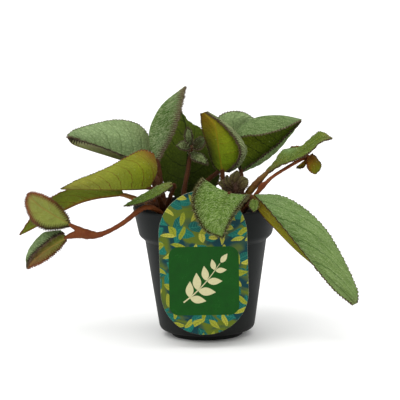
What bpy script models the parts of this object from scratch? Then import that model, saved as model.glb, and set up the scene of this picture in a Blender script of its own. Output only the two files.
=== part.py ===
"""A flame violet (Episcia) rooted in a 12 cm nursery pot, with the plant tag that hangs on the rim.

The pot, soil and tag are given by their sizes. The plant is given by what the photograph shows: each
rail of a leaf, and each stem, is a row of places (across, down, near). Across and down are in pixels of
the photograph's 400 pixel square. Near is how far the place is in front of the pot's axis, in mm.
The world has +Z up, +X to the right as seen in the photograph and the origin under the pot's middle.
"""

import math

import bmesh
import bpy
import numpy as np

MM = 0.001

# The camera that took the photograph, as found from the pot's rim, sides and foot.
VIEW_X = -4.3
VIEW_DISTANCE = 1350.0
VIEW_HEIGHT = 305.0
VIEW_PITCH = math.radians(8.12)
VIEW_ROLL = math.radians(0.9)
FOCAL_PIXELS = 1648.0
PICTURE_MIDDLE = 200.0

# The pot: outer radii with their heights, from the lip down to the foot.
TURNS = 40
POT_OUTSIDE = [
    (59.5, 108.0), (60.0, 107.2), (59.0, 103.4), (55.3, 85.4), (54.2, 83.6), (50.4, 80.2), (39.8, 8.6),
    (38.7, 6.2), (36.6, 4.9), (30.6, 4.5), (29.6, 0.0),
]
POT_INSIDE = [
    (28.4, 1.7), (29.2, 6.2), (36.4, 6.5), (38.2, 9.2), (49.0, 81.2), (53.2, 85.4), (57.5, 103.6),
    (58.8, 108.0),
]
DRAIN_COUNT = 8
DRAIN_RADIUS = 2.4
DRAIN_RING = 33.6

# The soil, which fills the pot to a little under the rim.
SOIL_GAP = 0.35
SOIL_EDGE_HEIGHT = 95.0
SOIL_MIDDLE_HEIGHT = 98.0

# The tag: a card with round ends, and a strap at its back that goes over the rim and into the soil.
CARD_WIDTH = 70.2
CARD_HEIGHT = 117.0
CARD_THICKNESS = 0.8
CARD_X = -2.1
CARD_FOOT = 12.0
CARD_FRONT = 63.6
CARD_LEAN = math.radians(1.6)
CARD_TURN = math.radians(0.9)
STRAP_WIDTH = 16.0
STRAP_THICKNESS = 0.8
STRAP_HEIGHT = 108.75
STRAP_BACK = 44.0
STRAP_END = 74.0

BLADE_THICKNESS = 0.7
TUBE_SIDES = 8
STEM_STEP = 8.0

# Where each crown stands in the soil: x, y, radius, foot height and top height.
CROWNS = {
    "left": (-32.5, -18.0, 5.2, 82.0, 103.0),
    "middle": (-17.5, 6.0, 5.6, 82.0, 104.0),
    "right": (26.5, -12.0, 6.2, 82.0, 106.0),
}
HOLE_GAP = 0.4

# Each blade: its midrib, then on each side the rails that its surface runs through from the midrib out
# to the margin. Left and right are as seen from its base on its upper side. Bulge arches a half that
# has only a margin, as a share of its width.
BLADES = {
    "leaf_left_top": dict(
        teeth=2.2, depth=0.5,
        rib=[(147, 166, 0), (133, 162.8, 2), (118, 158.6, 4), (103, 154, 6), (87, 149, 8),
             (73.6, 144.2, 9.5), (67.8, 138.4, 10)],
        left=[[(147, 163.5, 5), (135, 159.8, 15), (120.5, 154.6, 21), (104, 148, 25), (87, 142.2, 23),
               (75, 138.4, 16), (67.6, 137.2, 11)]],
        right=[[(151.4, 152, -2), (151, 138, -5), (139, 123.6, -5), (118, 118.8, -4), (95, 122.6, 0),
                (74.4, 128.6, 7), (67.2, 134.6, 9.6)]],
        bulge=0.10),
    "leaf_left_middle": dict(
        teeth=2.2, depth=0.4,
        rib=[(150, 188, 30), (136, 189, 32), (121, 189.3, 34), (106, 189.2, 35), (91, 189, 36),
             (76, 188.8, 37),
             (60.8, 189.2, 38)],
        left=[[(157.2, 170, 36), (142, 168, 40), (122, 173, 42), (104, 179, 43), (88, 183, 42),
               (74, 185.6, 41),
               (60.5, 188.9, 38.5)],
              [(154, 153.4, 34), (142.5, 149, 37), (127, 156, 39), (110, 165.5, 40), (93, 173, 40),
               (76, 179.6, 39),
               (60.3, 188.4, 38.5)]],
        right=[[(150, 172, 15), (141, 167, 9), (127, 167, 8), (110, 171.5, 9), (93, 177, 15), (77, 183, 25),
                (60.8, 188.8, 37)]],
        bulge=0.06),
    "leaf_left_low": dict(
        teeth=2.2, depth=0.4,
        rib=[(124, 194.6, 8), (110, 196.3, 8), (95, 198.5, 8), (78, 203.5, 8), (58, 213.5, 8),
             (38, 225.5, 8),
             (19.5, 235.2, 8)],
        left=[[(121.5, 189.6, 11), (106, 186.5, 17), (88, 187, 18), (68, 188.8, 19), (48, 199, 18),
               (29.5, 218.5, 14),
               (19.6, 234.4, 9)]],
        right=[[(121, 193, 3), (104, 190, -6), (86, 191.5, -9), (67, 197, -9), (47, 209, -7),
                (29.5, 221, -1),
                (19.6, 234.8, 6)]],
        bulge=0.08),
    "leaf_runner_left_upper": dict(
        teeth=1.7, depth=0.6,
        rib=[(71.6, 225.6, 31), (61, 219.5, 33.5), (50, 213, 36), (40, 206.5, 37.5), (32, 199.2, 38.5),
             (27.6, 193.6, 39)],
        left=[[(71, 223.5, 30.5), (69.5, 216, 29), (60, 204, 28), (46.5, 194.6, 29), (33.2, 190.8, 32.6),
               (28, 192.9, 38)]],
        right=[[(69.5, 227, 33), (57, 230.4, 38), (43, 230, 42), (31, 221.3, 44), (24.2, 203.6, 43),
                (27, 194.2, 39.5)]],
        bulge=0.10),
    "leaf_runner_left_lower": dict(
        teeth=1.7, depth=0.6,
        rib=[(67, 237.2, 31), (57.5, 242.7, 31), (48.5, 248.4, 31), (40.5, 254.5, 31),
             (33.5, 261, 31.5), (27, 268.8, 32)],
        left=[[(60.5, 230.6, 27), (45, 232.4, 26), (36.3, 239.5, 26.5), (29.9, 248, 28),
               (26.4, 257, 29.5), (26.4, 267.6, 31.5)],
              [(64.5, 233, 32.5), (54.5, 237.8, 34.5), (46.2, 244, 35.5), (38.3, 250.6, 35.5),
               (31.3, 258.4, 34.5),
               (26.9, 268, 32.5)]],
        right=[[(67, 241, 29), (62.2, 248.4, 26), (55.2, 255.2, 25), (47.2, 261.4, 25.5), (38, 266.4, 28),
                (28.4, 269.4, 31.5)]],
        bulge=0.08),
    "leaf_small_left": dict(
        teeth=1.6, depth=0.4, grain=10,
        rib=[(172.5, 184, 42), (163, 188.6, 43), (152, 194, 44), (141, 199.5, 45), (131, 203.8, 46),
             (123.6, 206.3, 47)],
        left=[[(173, 187, 45), (163, 194, 52), (152, 200, 55), (141, 204.2, 55), (131, 206.3, 52),
               (123.8, 206.7, 47.5)]],
        right=[[(171, 182, 39), (161.5, 184, 35), (150, 190.4, 34), (138.5, 196.6, 36),
                (129, 202.4, 41), (123.4, 206, 46.5)]],
        bulge=0.12),
    "leaf_top": dict(
        teeth=1.7, depth=0.5,
        rib=[(157.2, 162, 14), (150.9, 149, 14), (149.2, 134, 13), (153.3, 119.6, 12), (164, 103, 13),
             (185.6, 86.2, 16)],
        left=[[(158.4, 160, 10), (159, 147, 0), (161, 132, -6), (165.5, 118, -6), (173, 104.5, 0),
               (185.3, 86.8, 14)]],
        right=[[(159.2, 161.6, 13), (164.5, 151, 7), (172, 138, 3), (177.8, 123.5, 3), (182.6, 106, 8),
                (186, 86.6, 17)]],
        bulge=0.12),
    "leaf_back_upright": dict(
        teeth=2.2, depth=0.4,
        rib=[(183.5, 197, -12), (185, 184, -13), (186.5, 168, -14), (187.5, 151, -15), (187, 134, -17),
             (183.5, 118, -19),
             (176.5, 103.5, -22)],
        left=[[(189, 200, -16), (208, 194, -21), (220, 180, -24), (217.2, 156, -26),
               (204.5, 131, -28), (188.5, 120.6, -26),
               (177.4, 103.5, -23)]],
        right=[[(180.6, 200, -16), (172, 195.5, -20), (164.2, 185.5, -22), (157, 164, -24),
                (161, 138, -26), (168.5, 119, -26),
                (175.8, 103.3, -23)]],
        bulge=0.08),
    "leaf_cupped": dict(
        teeth=1.7, depth=0.4,
        rib=[(222.4, 171.6, 14), (221, 162, 15), (219, 150, 16), (217.5, 138, 15), (214, 125, 12),
             (203.6, 112.6, 8)],
        left=[[(229, 172.6, 9), (239, 165.3, 6), (245.6, 151, 4), (240, 138, 3), (227, 124, 3),
               (207.5, 111.4, 6)],
              [(227, 171.4, 13), (235.8, 162.6, 12.5), (239.6, 151.6, 11.5), (234.6, 139.4, 10.5),
               (222.6, 125, 9),
               (205.6, 112.6, 8.5)]],
        right=[[(219, 171.5, 11), (212.5, 165.5, 9), (208.3, 153, 8), (204.4, 140, 7), (200.8, 127, 6),
                (200, 113.4, 6)]],
        bulge=0.08),
    "leaf_right_roof": dict(
        teeth=2.2, depth=0.5,
        rib=[(240.5, 170.5, -8), (234, 156, -11), (233, 140, -13), (241, 126, -14), (258, 117.3, -14),
             (281, 115.6, -13),
             (301.5, 119.4, -11)],
        left=[[(243, 172, -11), (250, 168, -20), (258.5, 163.3, -25), (269, 155.3, -27), (279, 146.4, -25),
               (291, 132.8, -19), (301.2, 121.8, -12)],
              [(243, 170.6, -8.5), (248, 166.6, -16), (255.6, 160.8, -20.5), (266, 152.9, -22.5),
               (276.6, 144.6, -21.5),
               (289.6, 131.8, -17), (301, 121.2, -11)]],
        right=[[(241.6, 168.5, -6), (238.5, 158, -5), (237.5, 146, -3.5), (243.5, 137.4, -2),
                (262, 135.6, -1), (284, 129.4, -4),
                (301.2, 120.8, -10)]],
        bulge=0.12),
    "leaf_back_pale": dict(
        teeth=2.2, depth=0.4, grain=9,
        rib=[(221, 157, -37), (224.5, 147, -39), (231, 137, -40), (241, 129.5, -41), (252.5, 126, -41),
             (264, 127, -40)],
        left=[[(218.5, 155, -36), (212.5, 140, -36), (213.5, 123, -37), (224, 112.4, -38),
               (243.5, 111.6, -39), (263.6, 125.6, -40)]],
        right=[[(224, 157, -36), (233, 153, -35), (243, 147, -35), (252, 141, -36), (259, 134.5, -37),
                (264.4, 128, -39.5)]],
        bulge=0.10),
    "leaf_front": dict(
        teeth=1.5, depth=0.6,
        rib=[(229, 193.2, 61), (225.5, 198.6, 70), (222.5, 208, 71.5), (221.3, 219, 74),
             (221.6, 229, 75), (222.8, 237.8, 75.5)],
        left=[[(202.6, 177.8, 58), (194, 189.6, 69), (191.2, 202, 71.5), (194.6, 215.5, 73.5),
               (204.8, 231, 74.5), (221.8, 238, 75.5)]],
        right=[[(249, 194.6, 57), (247, 199, 65), (241, 206.5, 70), (235.2, 214.5, 72),
                (229.6, 224, 73.5), (224, 236.8, 75.5)]],
        bulge=0.05),
    "leaf_right_drooping": dict(
        teeth=2.6, depth=0.5,
        rib=[(252.5, 196.5, 35), (260.4, 211.4, 47), (277, 230, 55), (297, 250.4, 61), (319, 269.4, 65.4),
             (342, 290.6, 68.6), (355.4, 304, 70.3)],
        left=[[(256.5, 194.5, 33), (281.5, 195.2, 33), (305.4, 208, 39.4), (327.5, 230, 47),
               (345, 260, 55.5), (358.2, 290, 66), (358, 302.6, 70)]],
        right=[[(254.5, 194.8, 38), (265, 205, 56), (281.5, 225, 66), (299.5, 247.6, 71),
                (316.6, 270.4, 73), (334.6, 291.8, 73.6), (352, 305.4, 71)]],
        bulge=0.10),
    "leaf_right_narrow": dict(
        teeth=1.7, depth=0.4,
        rib=[(267.4, 172.4, 16), (278.5, 165, 15), (291, 158.6, 14), (304, 150.6, 13), (315, 142.4, 13),
             (324, 138, 13), (332.5, 138.6, 13)],
        left=[[(265.6, 170.4, 13), (274, 161.6, 6), (282.5, 149.8, 2), (300, 146.4, 1), (311.4, 137, 3),
               (320.5, 131, 7), (332.2, 138, 12)]],
        right=[[(269.6, 173.4, 19), (280, 166.6, 24), (292, 161.9, 27), (303.4, 157.4, 27),
                (312.6, 151.2, 25), (320, 143.6, 20), (332.4, 139.2, 14)]],
        bulge=0.08),
    "leaf_small_right": dict(
        teeth=1.5, depth=0.3, grain=5,
        rib=[(254.4, 199.5, 51.5), (254.9, 202.5, 53), (254.7, 207, 54), (254.1, 211.6, 54)],
        left=[[(256.8, 198.4, 51), (259.2, 202, 51.5), (258.8, 207, 52.5), (255, 212, 53.6)]],
        right=[[(251.6, 198.6, 52), (248.4, 202.2, 54), (248.2, 206.6, 55), (252.4, 211.8, 54.4)]],
        bulge=0.1),
    "leaf_behind_pot": dict(
        teeth=2.2, depth=0.5, grain=8,
        rib=[(193, 191, -42), (194, 188.5, -56), (195, 196, -72), (197, 215, -84), (199, 238, -92),
             (201, 263, -98)],
        left=[[(190, 191, -42), (180, 189, -57), (174.6, 199, -71), (175.6, 218, -79), (184, 244, -88),
               (199.6, 263.4, -98)]],
        right=[[(196, 191, -42), (207.6, 189, -57), (215, 199, -71), (218.4, 218, -79),
                (214.6, 244, -88), (202.4, 263.4, -98)]],
        bulge=0.10),
}

# Small leaves that grow so close together that each group is one body.
CLUSTERS = {
    "leaves_middle_small": [
        dict(rib=[(191.5, 146, -2), (189.5, 140, -1), (188.4, 133, -2), (187.8, 127, -4)],
             left=[[(190.5, 146, -2), (184.8, 141, 0), (184.2, 132.5, -1), (187.4, 127, -4)]],
             right=[[(193, 145, -2), (193.4, 139, 0), (192, 131, -1), (188.6, 127.2, -4)]]),
        dict(rib=[(191, 147.5, -2), (186.5, 148.6, 2), (181.5, 148.4, 4), (176.6, 145.6, 5)],
             left=[[(191, 148.6, 0), (188, 150.8, 5), (182, 150.2, 8), (176.6, 146.2, 5.5)]],
             right=[[(190.6, 145, -4), (187, 140.4, -4), (181, 141, -1), (176.6, 145, 4)]]),
        dict(rib=[(192.5, 147, -2), (197.5, 146.5, 1), (202, 143, 2), (206.4, 138.4, 2)],
             left=[[(192.5, 145, -4), (195.5, 139.4, -4), (200, 136.6, -3), (206, 137.8, 1.5)]],
             right=[[(193, 149, 0), (198.5, 150.4, 5), (203.6, 147, 6), (206.6, 139.2, 2.5)]]),
        dict(rib=[(190.5, 152.5, -1), (196, 156, 3), (202, 160, 5), (208, 164.6, 6)],
             left=[[(191.5, 151.6, -2), (200, 152.6, 0), (205.4, 156.4, 3), (208.4, 164, 6)]],
             right=[[(189.5, 154, 1), (192, 160, 6), (199, 163, 7.5), (207.6, 165.2, 6.4)]]),
    ],
    "buds_right": [
        dict(rib=[(233, 192, 18), (227, 187, 20), (222, 183.6, 20), (217.6, 183, 19)],
             left=[[(231, 194, 20), (226, 191.4, 24), (221.4, 187.6, 24), (217.4, 183.8, 20)]],
             right=[[(234, 190, 16), (229, 182.6, 15), (223, 180, 16), (218, 182.2, 18)]]),
        dict(rib=[(234, 190, 19), (229.4, 185, 22), (226.8, 180.5, 22.6), (226.6, 175, 21)],
             left=[[(232.4, 191, 20), (226.4, 187.6, 24), (223, 181.4, 24), (226, 175.2, 21.4)]],
             right=[[(235.6, 189, 18), (232, 182.6, 19.6), (230, 178.4, 19.4), (227.2, 175, 20.6)]]),
        dict(rib=[(237, 190, 18), (240, 184, 20), (243.6, 180.4, 20), (248, 180, 18)],
             left=[[(235, 189, 16), (237, 180.4, 14), (242, 176, 14), (247.6, 179, 17)]],
             right=[[(239, 192, 20), (244, 190, 24), (248, 186.4, 23), (248.4, 181, 19)]]),
        dict(rib=[(235, 189, 16), (233, 182, 18), (233.6, 176, 16), (237, 170.6, 12)],
             left=[[(232, 190, 17), (228.4, 182.6, 19), (229.6, 175.6, 18), (236, 170.6, 12.5)]],
             right=[[(238, 188, 15), (239, 180.6, 14), (240.6, 174.6, 12), (238.2, 170.8, 11.5)]]),
    ],
    "leaves_runner_right": [
        dict(rib=[(308.5, 156.5, 10), (312, 161, 13), (314.6, 167.6, 14), (315, 174, 12)],
             left=[[(312.6, 153, 8), (318.4, 159, 8), (321.8, 166.6, 8), (316.4, 174, 11)]],
             right=[[(306.4, 158.6, 12), (305.8, 164, 15), (308, 170.4, 15), (313.6, 174.2, 12.6)]]),
        dict(rib=[(306.4, 158.6, 10.5), (303.8, 162.6, 14.5), (300, 166.2, 16), (296.4, 168.2, 15.5)],
             left=[[(307.2, 159.2, 11), (305.4, 166.6, 16), (301, 169, 17), (296.8, 168.8, 15.8)]],
             right=[[(305.6, 158.6, 11.5), (300.7, 163.4, 15), (297, 165.6, 14.8), (296, 167.6, 15)]]),
        dict(rib=[(306.4, 157.2, 8.6), (301, 152.5, -4), (296.5, 149, -8), (291, 146.6, -9)],
             left=[[(305.6, 158, 9), (298.6, 155, -4), (292.5, 152, -8), (290.4, 147.4, -9)]],
             right=[[(307.2, 156.4, 8), (304, 149.6, -5), (299, 145.8, -9), (291.8, 146, -9.4)]]),
    ],
}
# The two buds of the left crown: a place, then the half width, half depth and half height in mm.
BUDS_LEFT = [((153.2, 205.6, 19.5), (5.0, 3.6, 4.4)), ((155.3, 181.5, 22.4), (3.4, 3.3, 5.4))]
BUDS_LEFT_STALK = [(158.0, 208.2, 19, 1.4), (155, 205.6, 19.4, 1.6), (154.6, 199, 20.5, 1.3),
                   (155.4, 191, 21.6, 1.3),
                   (155.8, 184, 22, 1.5)]

# The stubs that hold each group together: places with a radius in mm after them.
CLUSTER_CORES = {
    "leaves_middle_small": [[(190.2, 154.6, -3, 1.6), (190.8, 151, -3, 2.0), (191.6, 147, -3, 2.6),
                             (191.8, 144.4, -3, 1.4)]],
    "buds_right": [
        [(235.6, 199.0, 14, 2.2), (235.6, 194, 15, 3.8), (235.4, 189, 16, 4.4), (234.6, 184, 15, 2.8),
         (234.6, 180.6, 14, 1.2)],
        [(234, 193, 16, 2.2), (229, 190.6, 19, 2.6), (226, 188.2, 20, 1.4)],
        [(236, 192, 16, 2.4), (241.6, 188.6, 19, 2.8), (245, 184.6, 20, 1.4)],
    ],
    "leaves_runner_right": [[(304.4, 158.2, 9, 1.6), (307, 157.2, 9, 2.4), (309.6, 157.4, 10.4, 1.5)]],
}

# Stems: places with a radius in mm after them. A group is one body with the crown that it names.
STEMS = {
    "stems_left_crown": ("left", [
        [(165, 216, 18, 3.0), (162, 205, 24, 2.4), (157, 194.5, 29, 2.0), (151.6, 188.6, 30, 1.7)],
        [(164, 216, 18, 3.0), (161, 207, 14, 2.2), (150, 203.4, 9, 2.1), (136, 198.9, 8, 2.2),
         (125.0, 195.2, 8, 1.8)],
        [(166, 216, 17, 3.0), (164, 202, 15, 2.4), (160.6, 186, 15, 2.6), (158.8, 173, 14.5, 2.5),
         (157.9, 163.0, 14, 1.8)],
        [(165, 216, 16, 3.0), (163, 200, 9, 2.2), (158.5, 184, 1, 2.0), (152.5, 172, -1, 1.9),
         (148.2, 166.8, 0, 1.6)],
        [(167, 216, 19, 2.4), (168.5, 203, 28, 1.9), (171.5, 193, 37, 1.7), (174.6, 185.2, 41.4, 1.4)],
        [(165, 216, 18, 2.6), (163.4, 214.6, 22, 2.4), (161.6, 213.6, 26, 2.2)],
        [(165, 216, 18, 2.6), (161.5, 211.5, 18.5, 2.0), (158.8, 208.8, 19, 1.5)],
    ]),
    "stems_middle_crown": ("middle", [
        [(184, 212, -7, 2.8), (184, 205.4, -10, 2.4), (183.5, 198.8, -11.9, 1.7)],
        [(184, 212, -5, 2.8), (183.4, 200, 2, 2.2), (184.4, 188, 2, 1.9), (188, 170, -1, 1.8),
         (189.6, 159, -3, 1.7),
         (190.4, 155.9, -3, 1.5)],
        [(185, 212, -6, 2.8), (193, 197, -5, 2.2), (207, 181, -9, 1.9), (218.6, 171.4, -15, 1.8),
         (223.6, 164, -26, 1.7), (220.3, 158.3, -35.9, 1.4)],
        [(185, 212, -8, 2.8), (190, 203.6, -24, 2.4), (192.5, 193, -36, 2.0), (193, 190.6, -41, 1.6)],
    ]),
    "stems_right_crown": ("right", [
        [(236, 216, 12, 3.2), (229, 200, 12, 2.6), (223.5, 186, 12.5, 2.2), (222.4, 173, 13.6, 1.9)],
        [(239, 216, 11, 3.2), (241, 200, 5, 2.4), (242, 184, -3, 2.0), (241, 171.6, -8, 1.7)],
        [(236, 216, 13, 3.2), (233, 205, 26, 2.6), (230.4, 196, 43, 2.2), (229.3, 193.5, 59.6, 1.4)],
        [(240, 216, 13, 3.2), (243.5, 203, 22, 2.6), (249, 197.4, 31, 2.2), (251.7, 196.4, 34.4, 1.7)],
        [(240, 216, 12, 3.4), (246, 197, 17, 2.9), (256, 184, 18, 2.9), (266.7, 173.0, 16.1, 1.8)],
        [(236, 216, 12, 3.2), (235.6, 207, 12.6, 2.8), (235.6, 199.8, 13.8, 2.2)],
        [(240, 216, 12, 2.6), (246, 207.4, 17, 2.0), (251.8, 200.2, 19.6, 1.7)],
        [(240, 216, 13, 2.4), (246, 208.5, 28, 1.8), (250.6, 202.4, 43, 1.5), (253.7, 199.8, 50.6, 1.2)],
    ]),
}
RUNNERS = {
    "runner_left": [
        [(161.35, 213.4, 26.5, 1.9), (157.6, 210.6, 33, 2.0), (151.5, 207.4, 36.5, 2.0),
         (144.5, 207.4, 37, 2.1), (137.5, 211.6, 37, 2.1), (128.4, 219, 35, 2.0),
         (120, 225, 33, 1.9), (109, 231, 31, 1.9), (98, 235, 30, 2.5), (88, 234.4, 30, 4.0),
         (79, 232.4, 30, 4.3), (74.5, 231.6, 30, 3.4)],
        [(80, 230.6, 30, 3.0), (76.5, 228.4, 30.5, 2.4), (72.6, 226.2, 31, 1.8)],
        [(80, 233.6, 30, 3.6), (74, 235, 31, 3.0), (67.5, 236.9, 31, 1.8)],
    ],
    "runner_right": [
        [(252.1, 199.8, 19.8, 1.6), (257, 193, 22, 1.7), (262, 187.4, 22, 1.9), (271.9, 177.3, 20, 1.4),
         (287.8, 167.1, 15, 1.4),
         (297, 161.8, 12, 1.4), (303, 158.9, 9.6, 1.3)],
        [(258.6, 190.6, 22, 1.6), (262, 185, 22.6, 1.8), (265.4, 182.2, 22.6, 0.9)],
    ],
}

COLOURS = {
    "pot": (0.028, 0.032, 0.034), "soil": (0.035, 0.02, 0.012), "tag": (0.02, 0.13, 0.03),
    "pale_leaf": (0.33, 0.45, 0.2), "green_leaf": (0.1, 0.2, 0.03), "stem": (0.22, 0.06, 0.03),
    "bud": (0.1, 0.04, 0.035),
}
PALE = ("leaf_left_top", "leaf_top", "leaf_right_roof", "leaf_back_pale", "leaf_front", "leaf_right_drooping",
        "leaf_behind_pot")


def seen(across, down, near):
    """The world point, in mm, that the photograph shows at a place, at a depth in front of the pot's axis."""
    forward = np.array([0.0, math.cos(VIEW_PITCH), -math.sin(VIEW_PITCH)])
    level = np.array([1.0, 0.0, 0.0])
    upright = np.cross(level, forward)
    right = level * math.cos(VIEW_ROLL) - upright * math.sin(VIEW_ROLL)
    up = upright * math.cos(VIEW_ROLL) + level * math.sin(VIEW_ROLL)
    ray = forward * FOCAL_PIXELS + right * (across - PICTURE_MIDDLE) - up * (down - PICTURE_MIDDLE)
    eye = np.array([VIEW_X, -VIEW_DISTANCE, VIEW_HEIGHT])
    return eye + ray * ((VIEW_DISTANCE - near) / ray[1])


def through(points, t):
    """A smooth curve through a row of points, read at each t from 0 to 1."""
    points = np.asarray(points, float)
    points = np.concatenate([2 * points[:1] - points[1:2], points, 2 * points[-1:] - points[-2:-1]])
    spans = len(points) - 3
    s = np.clip(np.atleast_1d(t) * spans, 0, spans - 1e-9)
    i = s.astype(int)
    f = (s - i).reshape((-1,) + (1,) * (points.ndim - 1))
    a, b, c, d = points[i], points[i + 1], points[i + 2], points[i + 3]
    return 0.5 * (2 * b + (c - a) * f + (2 * a - 5 * b + 4 * c - d) * f**2 + (3 * b - a - 3 * c + d) * f**3)


class Blade:
    """A leaf's surface: u runs from base to tip, v from -1 at the left margin over 0 at the midrib to 1."""

    def __init__(self, given):
        self.rib = np.array([seen(*p) for p in given["rib"]])
        self.sides = [self.rails(given["left"], 1.0, given.get("bulge", 0.1)),
                      self.rails(given["right"], -1.0, given.get("bulge", 0.1))]

    def rails(self, given, turn, bulge):
        """The rows of points from the midrib to the margin, one row for each station along the leaf."""
        rows = [self.rib] + [np.array([seen(*p) for p in rail]) for rail in given]
        if len(rows) == 2:
            along = np.gradient(self.rib, axis=0)
            along /= np.linalg.norm(along, axis=1, keepdims=True)
            across = rows[1] - rows[0]
            up = turn * np.cross(along, across)
            rows.insert(1, (rows[0] + rows[1]) / 2 + bulge * up)
        return np.stack(rows, axis=1)

    def at(self, u, v, teeth=0, depth=0.0):
        """The points at u, all at one v. Teeth scallop the margin inward by up to depth, in mm."""
        rows = through(self.sides[0 if v < 0 else 1], u)
        if teeth and abs(v) == 1:
            notch = depth * (1 - np.abs(np.sin(np.pi * teeth * np.asarray(u))))
            out = rows[:, -1] - rows[:, -2]
            out /= np.maximum(np.linalg.norm(out, axis=1, keepdims=True), 1e-6)
            rows[:, -1] -= out * notch[:, None]
        return np.array([through(row, abs(v))[0] for row in rows])

    def up(self, u, v):
        """The upper side's unit normals at u, longer on the midrib, where the two halves meet in a mitre."""
        e = 0.02
        lo, hi = np.clip(np.asarray(u) - e, 0, 1), np.clip(np.asarray(u) + e, 0, 1)
        found = []
        for side in [-1, 1] if v == 0 else [math.copysign(1, v)]:
            base = min(max(abs(v), e), 1 - e)
            along = self.at(hi, side * base) - self.at(lo, side * base)
            across = self.at(u, side * min(base + e, 1)) - self.at(u, side * max(base - e, 1e-6))
            normal = side * np.cross(across, along)
            found.append(normal / np.maximum(np.linalg.norm(normal, axis=1, keepdims=True), 1e-9))
        if len(found) == 1:
            return found[0]
        total = found[0] + found[1]
        size = np.linalg.norm(total, axis=1, keepdims=True)
        return total / np.maximum(size, 1e-6) * np.minimum(2 / np.maximum(size, 1e-6), 1.6)


def blade_solid(given, coarse, fine, thickness):
    """Points and triangles of a leaf with thickness. Its margins have fine times the points of its inside."""
    blade = Blade(given)
    inner = np.linspace(0, 1, coarse + 1)
    outer = np.linspace(0, 1, coarse * fine + 1)
    length = np.linalg.norm(np.diff(blade.at(np.linspace(0, 1, 20), 0.0), axis=0), axis=1).sum()
    teeth = max(1, round(length / (2.0 * given.get("teeth", 1.2)))) if given.get("depth") else 0
    teeth = min(teeth, coarse * fine // 2)
    steps_left = [1, 0.72, 0.36] if len(given["left"]) == 1 else [1, 0.84, 0.67, 0.34]
    steps_right = [1, 0.72, 0.36] if len(given["right"]) == 1 else [1, 0.84, 0.67, 0.34]
    vs = [-v for v in steps_left] + [0] + steps_right[::-1]
    points, rows = [], []
    for v in vs:
        us = outer if abs(v) == 1 else inner
        middle = blade.at(us, v, teeth, given.get("depth", 0.0))
        lift = blade.up(us, v) * thickness / 2
        start = len(points)
        points += list(middle + lift) + list(middle - lift)
        rows.append((start, len(us)))
    faces = []
    for (a, n), (b, m) in zip(rows, rows[1:]):
        faces += strip(a, n, b, m) + [f[::-1] for f in strip(a + n, n, b + m, m)]
        faces += [(a, a + n, b + m), (a, b + m, b)]
        faces += [(a + n - 1, b + m - 1, b + 2 * m - 1), (a + n - 1, b + 2 * m - 1, a + 2 * n - 1)]
    for (a, n), turn in ((rows[0], 1), (rows[-1], -1)):
        for i in range(n - 1):
            faces += [(a + i, a + i + 1, a + n + i + 1)[::turn], (a + i, a + n + i + 1, a + n + i)[::turn]]
    return np.array(points), faces


def strip(a, n, b, m):
    """Triangles between two rows of points, one of which may have several times the other's points."""
    if n > m:
        return [f[::-1] for f in strip(b, m, a, n)]
    share = (m - 1) // (n - 1)
    faces = []
    for i in range(n - 1):
        j = i * share
        half = (share + 1) // 2
        faces += [(a + i, b + j + k, b + j + k + 1) for k in range(half)]
        faces.append((a + i, b + j + half, a + i + 1))
        faces += [(a + i + 1, b + j + k, b + j + k + 1) for k in range(half, share)]
    return faces


def collection(name, hidden=False):
    found = bpy.data.collections.new(name)
    bpy.context.scene.collection.children.link(found)
    found.hide_render = hidden
    return found


def material(slot):
    found = bpy.data.materials.get(slot)
    if found is None:
        found = bpy.data.materials.new(slot)
        found.use_nodes = True
        shader = found.node_tree.nodes["Principled BSDF"]
        shader.inputs["Base Color"].default_value = (*COLOURS[slot], 1)
        shader.inputs["Roughness"].default_value = 0.6
    return found


def add(name, mesh, slot=None, helper=False):
    """Puts a mesh in the scene as a sub-part, or as a cutter that no render shows."""
    obj = bpy.data.objects.new(name, mesh)
    (CUTTERS if helper else PLANT).objects.link(obj)
    if helper:
        obj.hide_render = True
        obj.display_type = "WIRE"
    else:
        obj.data.materials.append(material(slot))
    return obj


def mesh_of(name, points, faces):
    """A mesh from points in mm, with every face turned outward."""
    mesh = bpy.data.meshes.new(name)
    points = [tuple(p) for p in np.asarray(points) * MM]
    mesh.from_pydata(points, [], [tuple(int(i) for i in f) for f in faces])
    work = bmesh.new()
    work.from_mesh(mesh)
    bmesh.ops.recalc_face_normals(work, faces=work.faces)
    if work.calc_volume(signed=True) < 0:
        bmesh.ops.reverse_faces(work, faces=work.faces)
    work.to_mesh(mesh)
    work.free()
    return mesh


def turned(name, profile, slot):
    """A body turned round the Z axis from a closed profile at +X that runs down its outside."""
    mesh = bpy.data.meshes.new(name)
    points = [(r * MM, 0, z * MM) for r, z in profile]
    mesh.from_pydata(points, [(i, i + 1) for i in range(len(points) - 1)], [])
    obj = add(name, mesh, slot)
    turn = obj.modifiers.new("turn", "SCREW")
    turn.axis, turn.angle = "Z", math.tau
    turn.steps = turn.render_steps = TURNS
    turn.use_merge_vertices, turn.merge_threshold = True, 0.00005
    turn.use_normal_calculate = True
    return obj


def cylinder(name, x, y, bottom, top, radius, sides=24):
    work = bmesh.new()
    bmesh.ops.create_cone(work, cap_ends=True, segments=sides, radius1=radius * MM, radius2=radius * MM,
                          depth=(top - bottom) * MM)
    bmesh.ops.translate(work, verts=work.verts, vec=(x * MM, y * MM, (top + bottom) / 2 * MM))
    mesh = bpy.data.meshes.new(name)
    work.to_mesh(mesh)
    work.free()
    return add(name, mesh, helper=True)


def boolean(obj, other, operation):
    step = obj.modifiers.new(other.name, "BOOLEAN")
    step.operation, step.solver, step.object = operation, "EXACT", other


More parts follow.
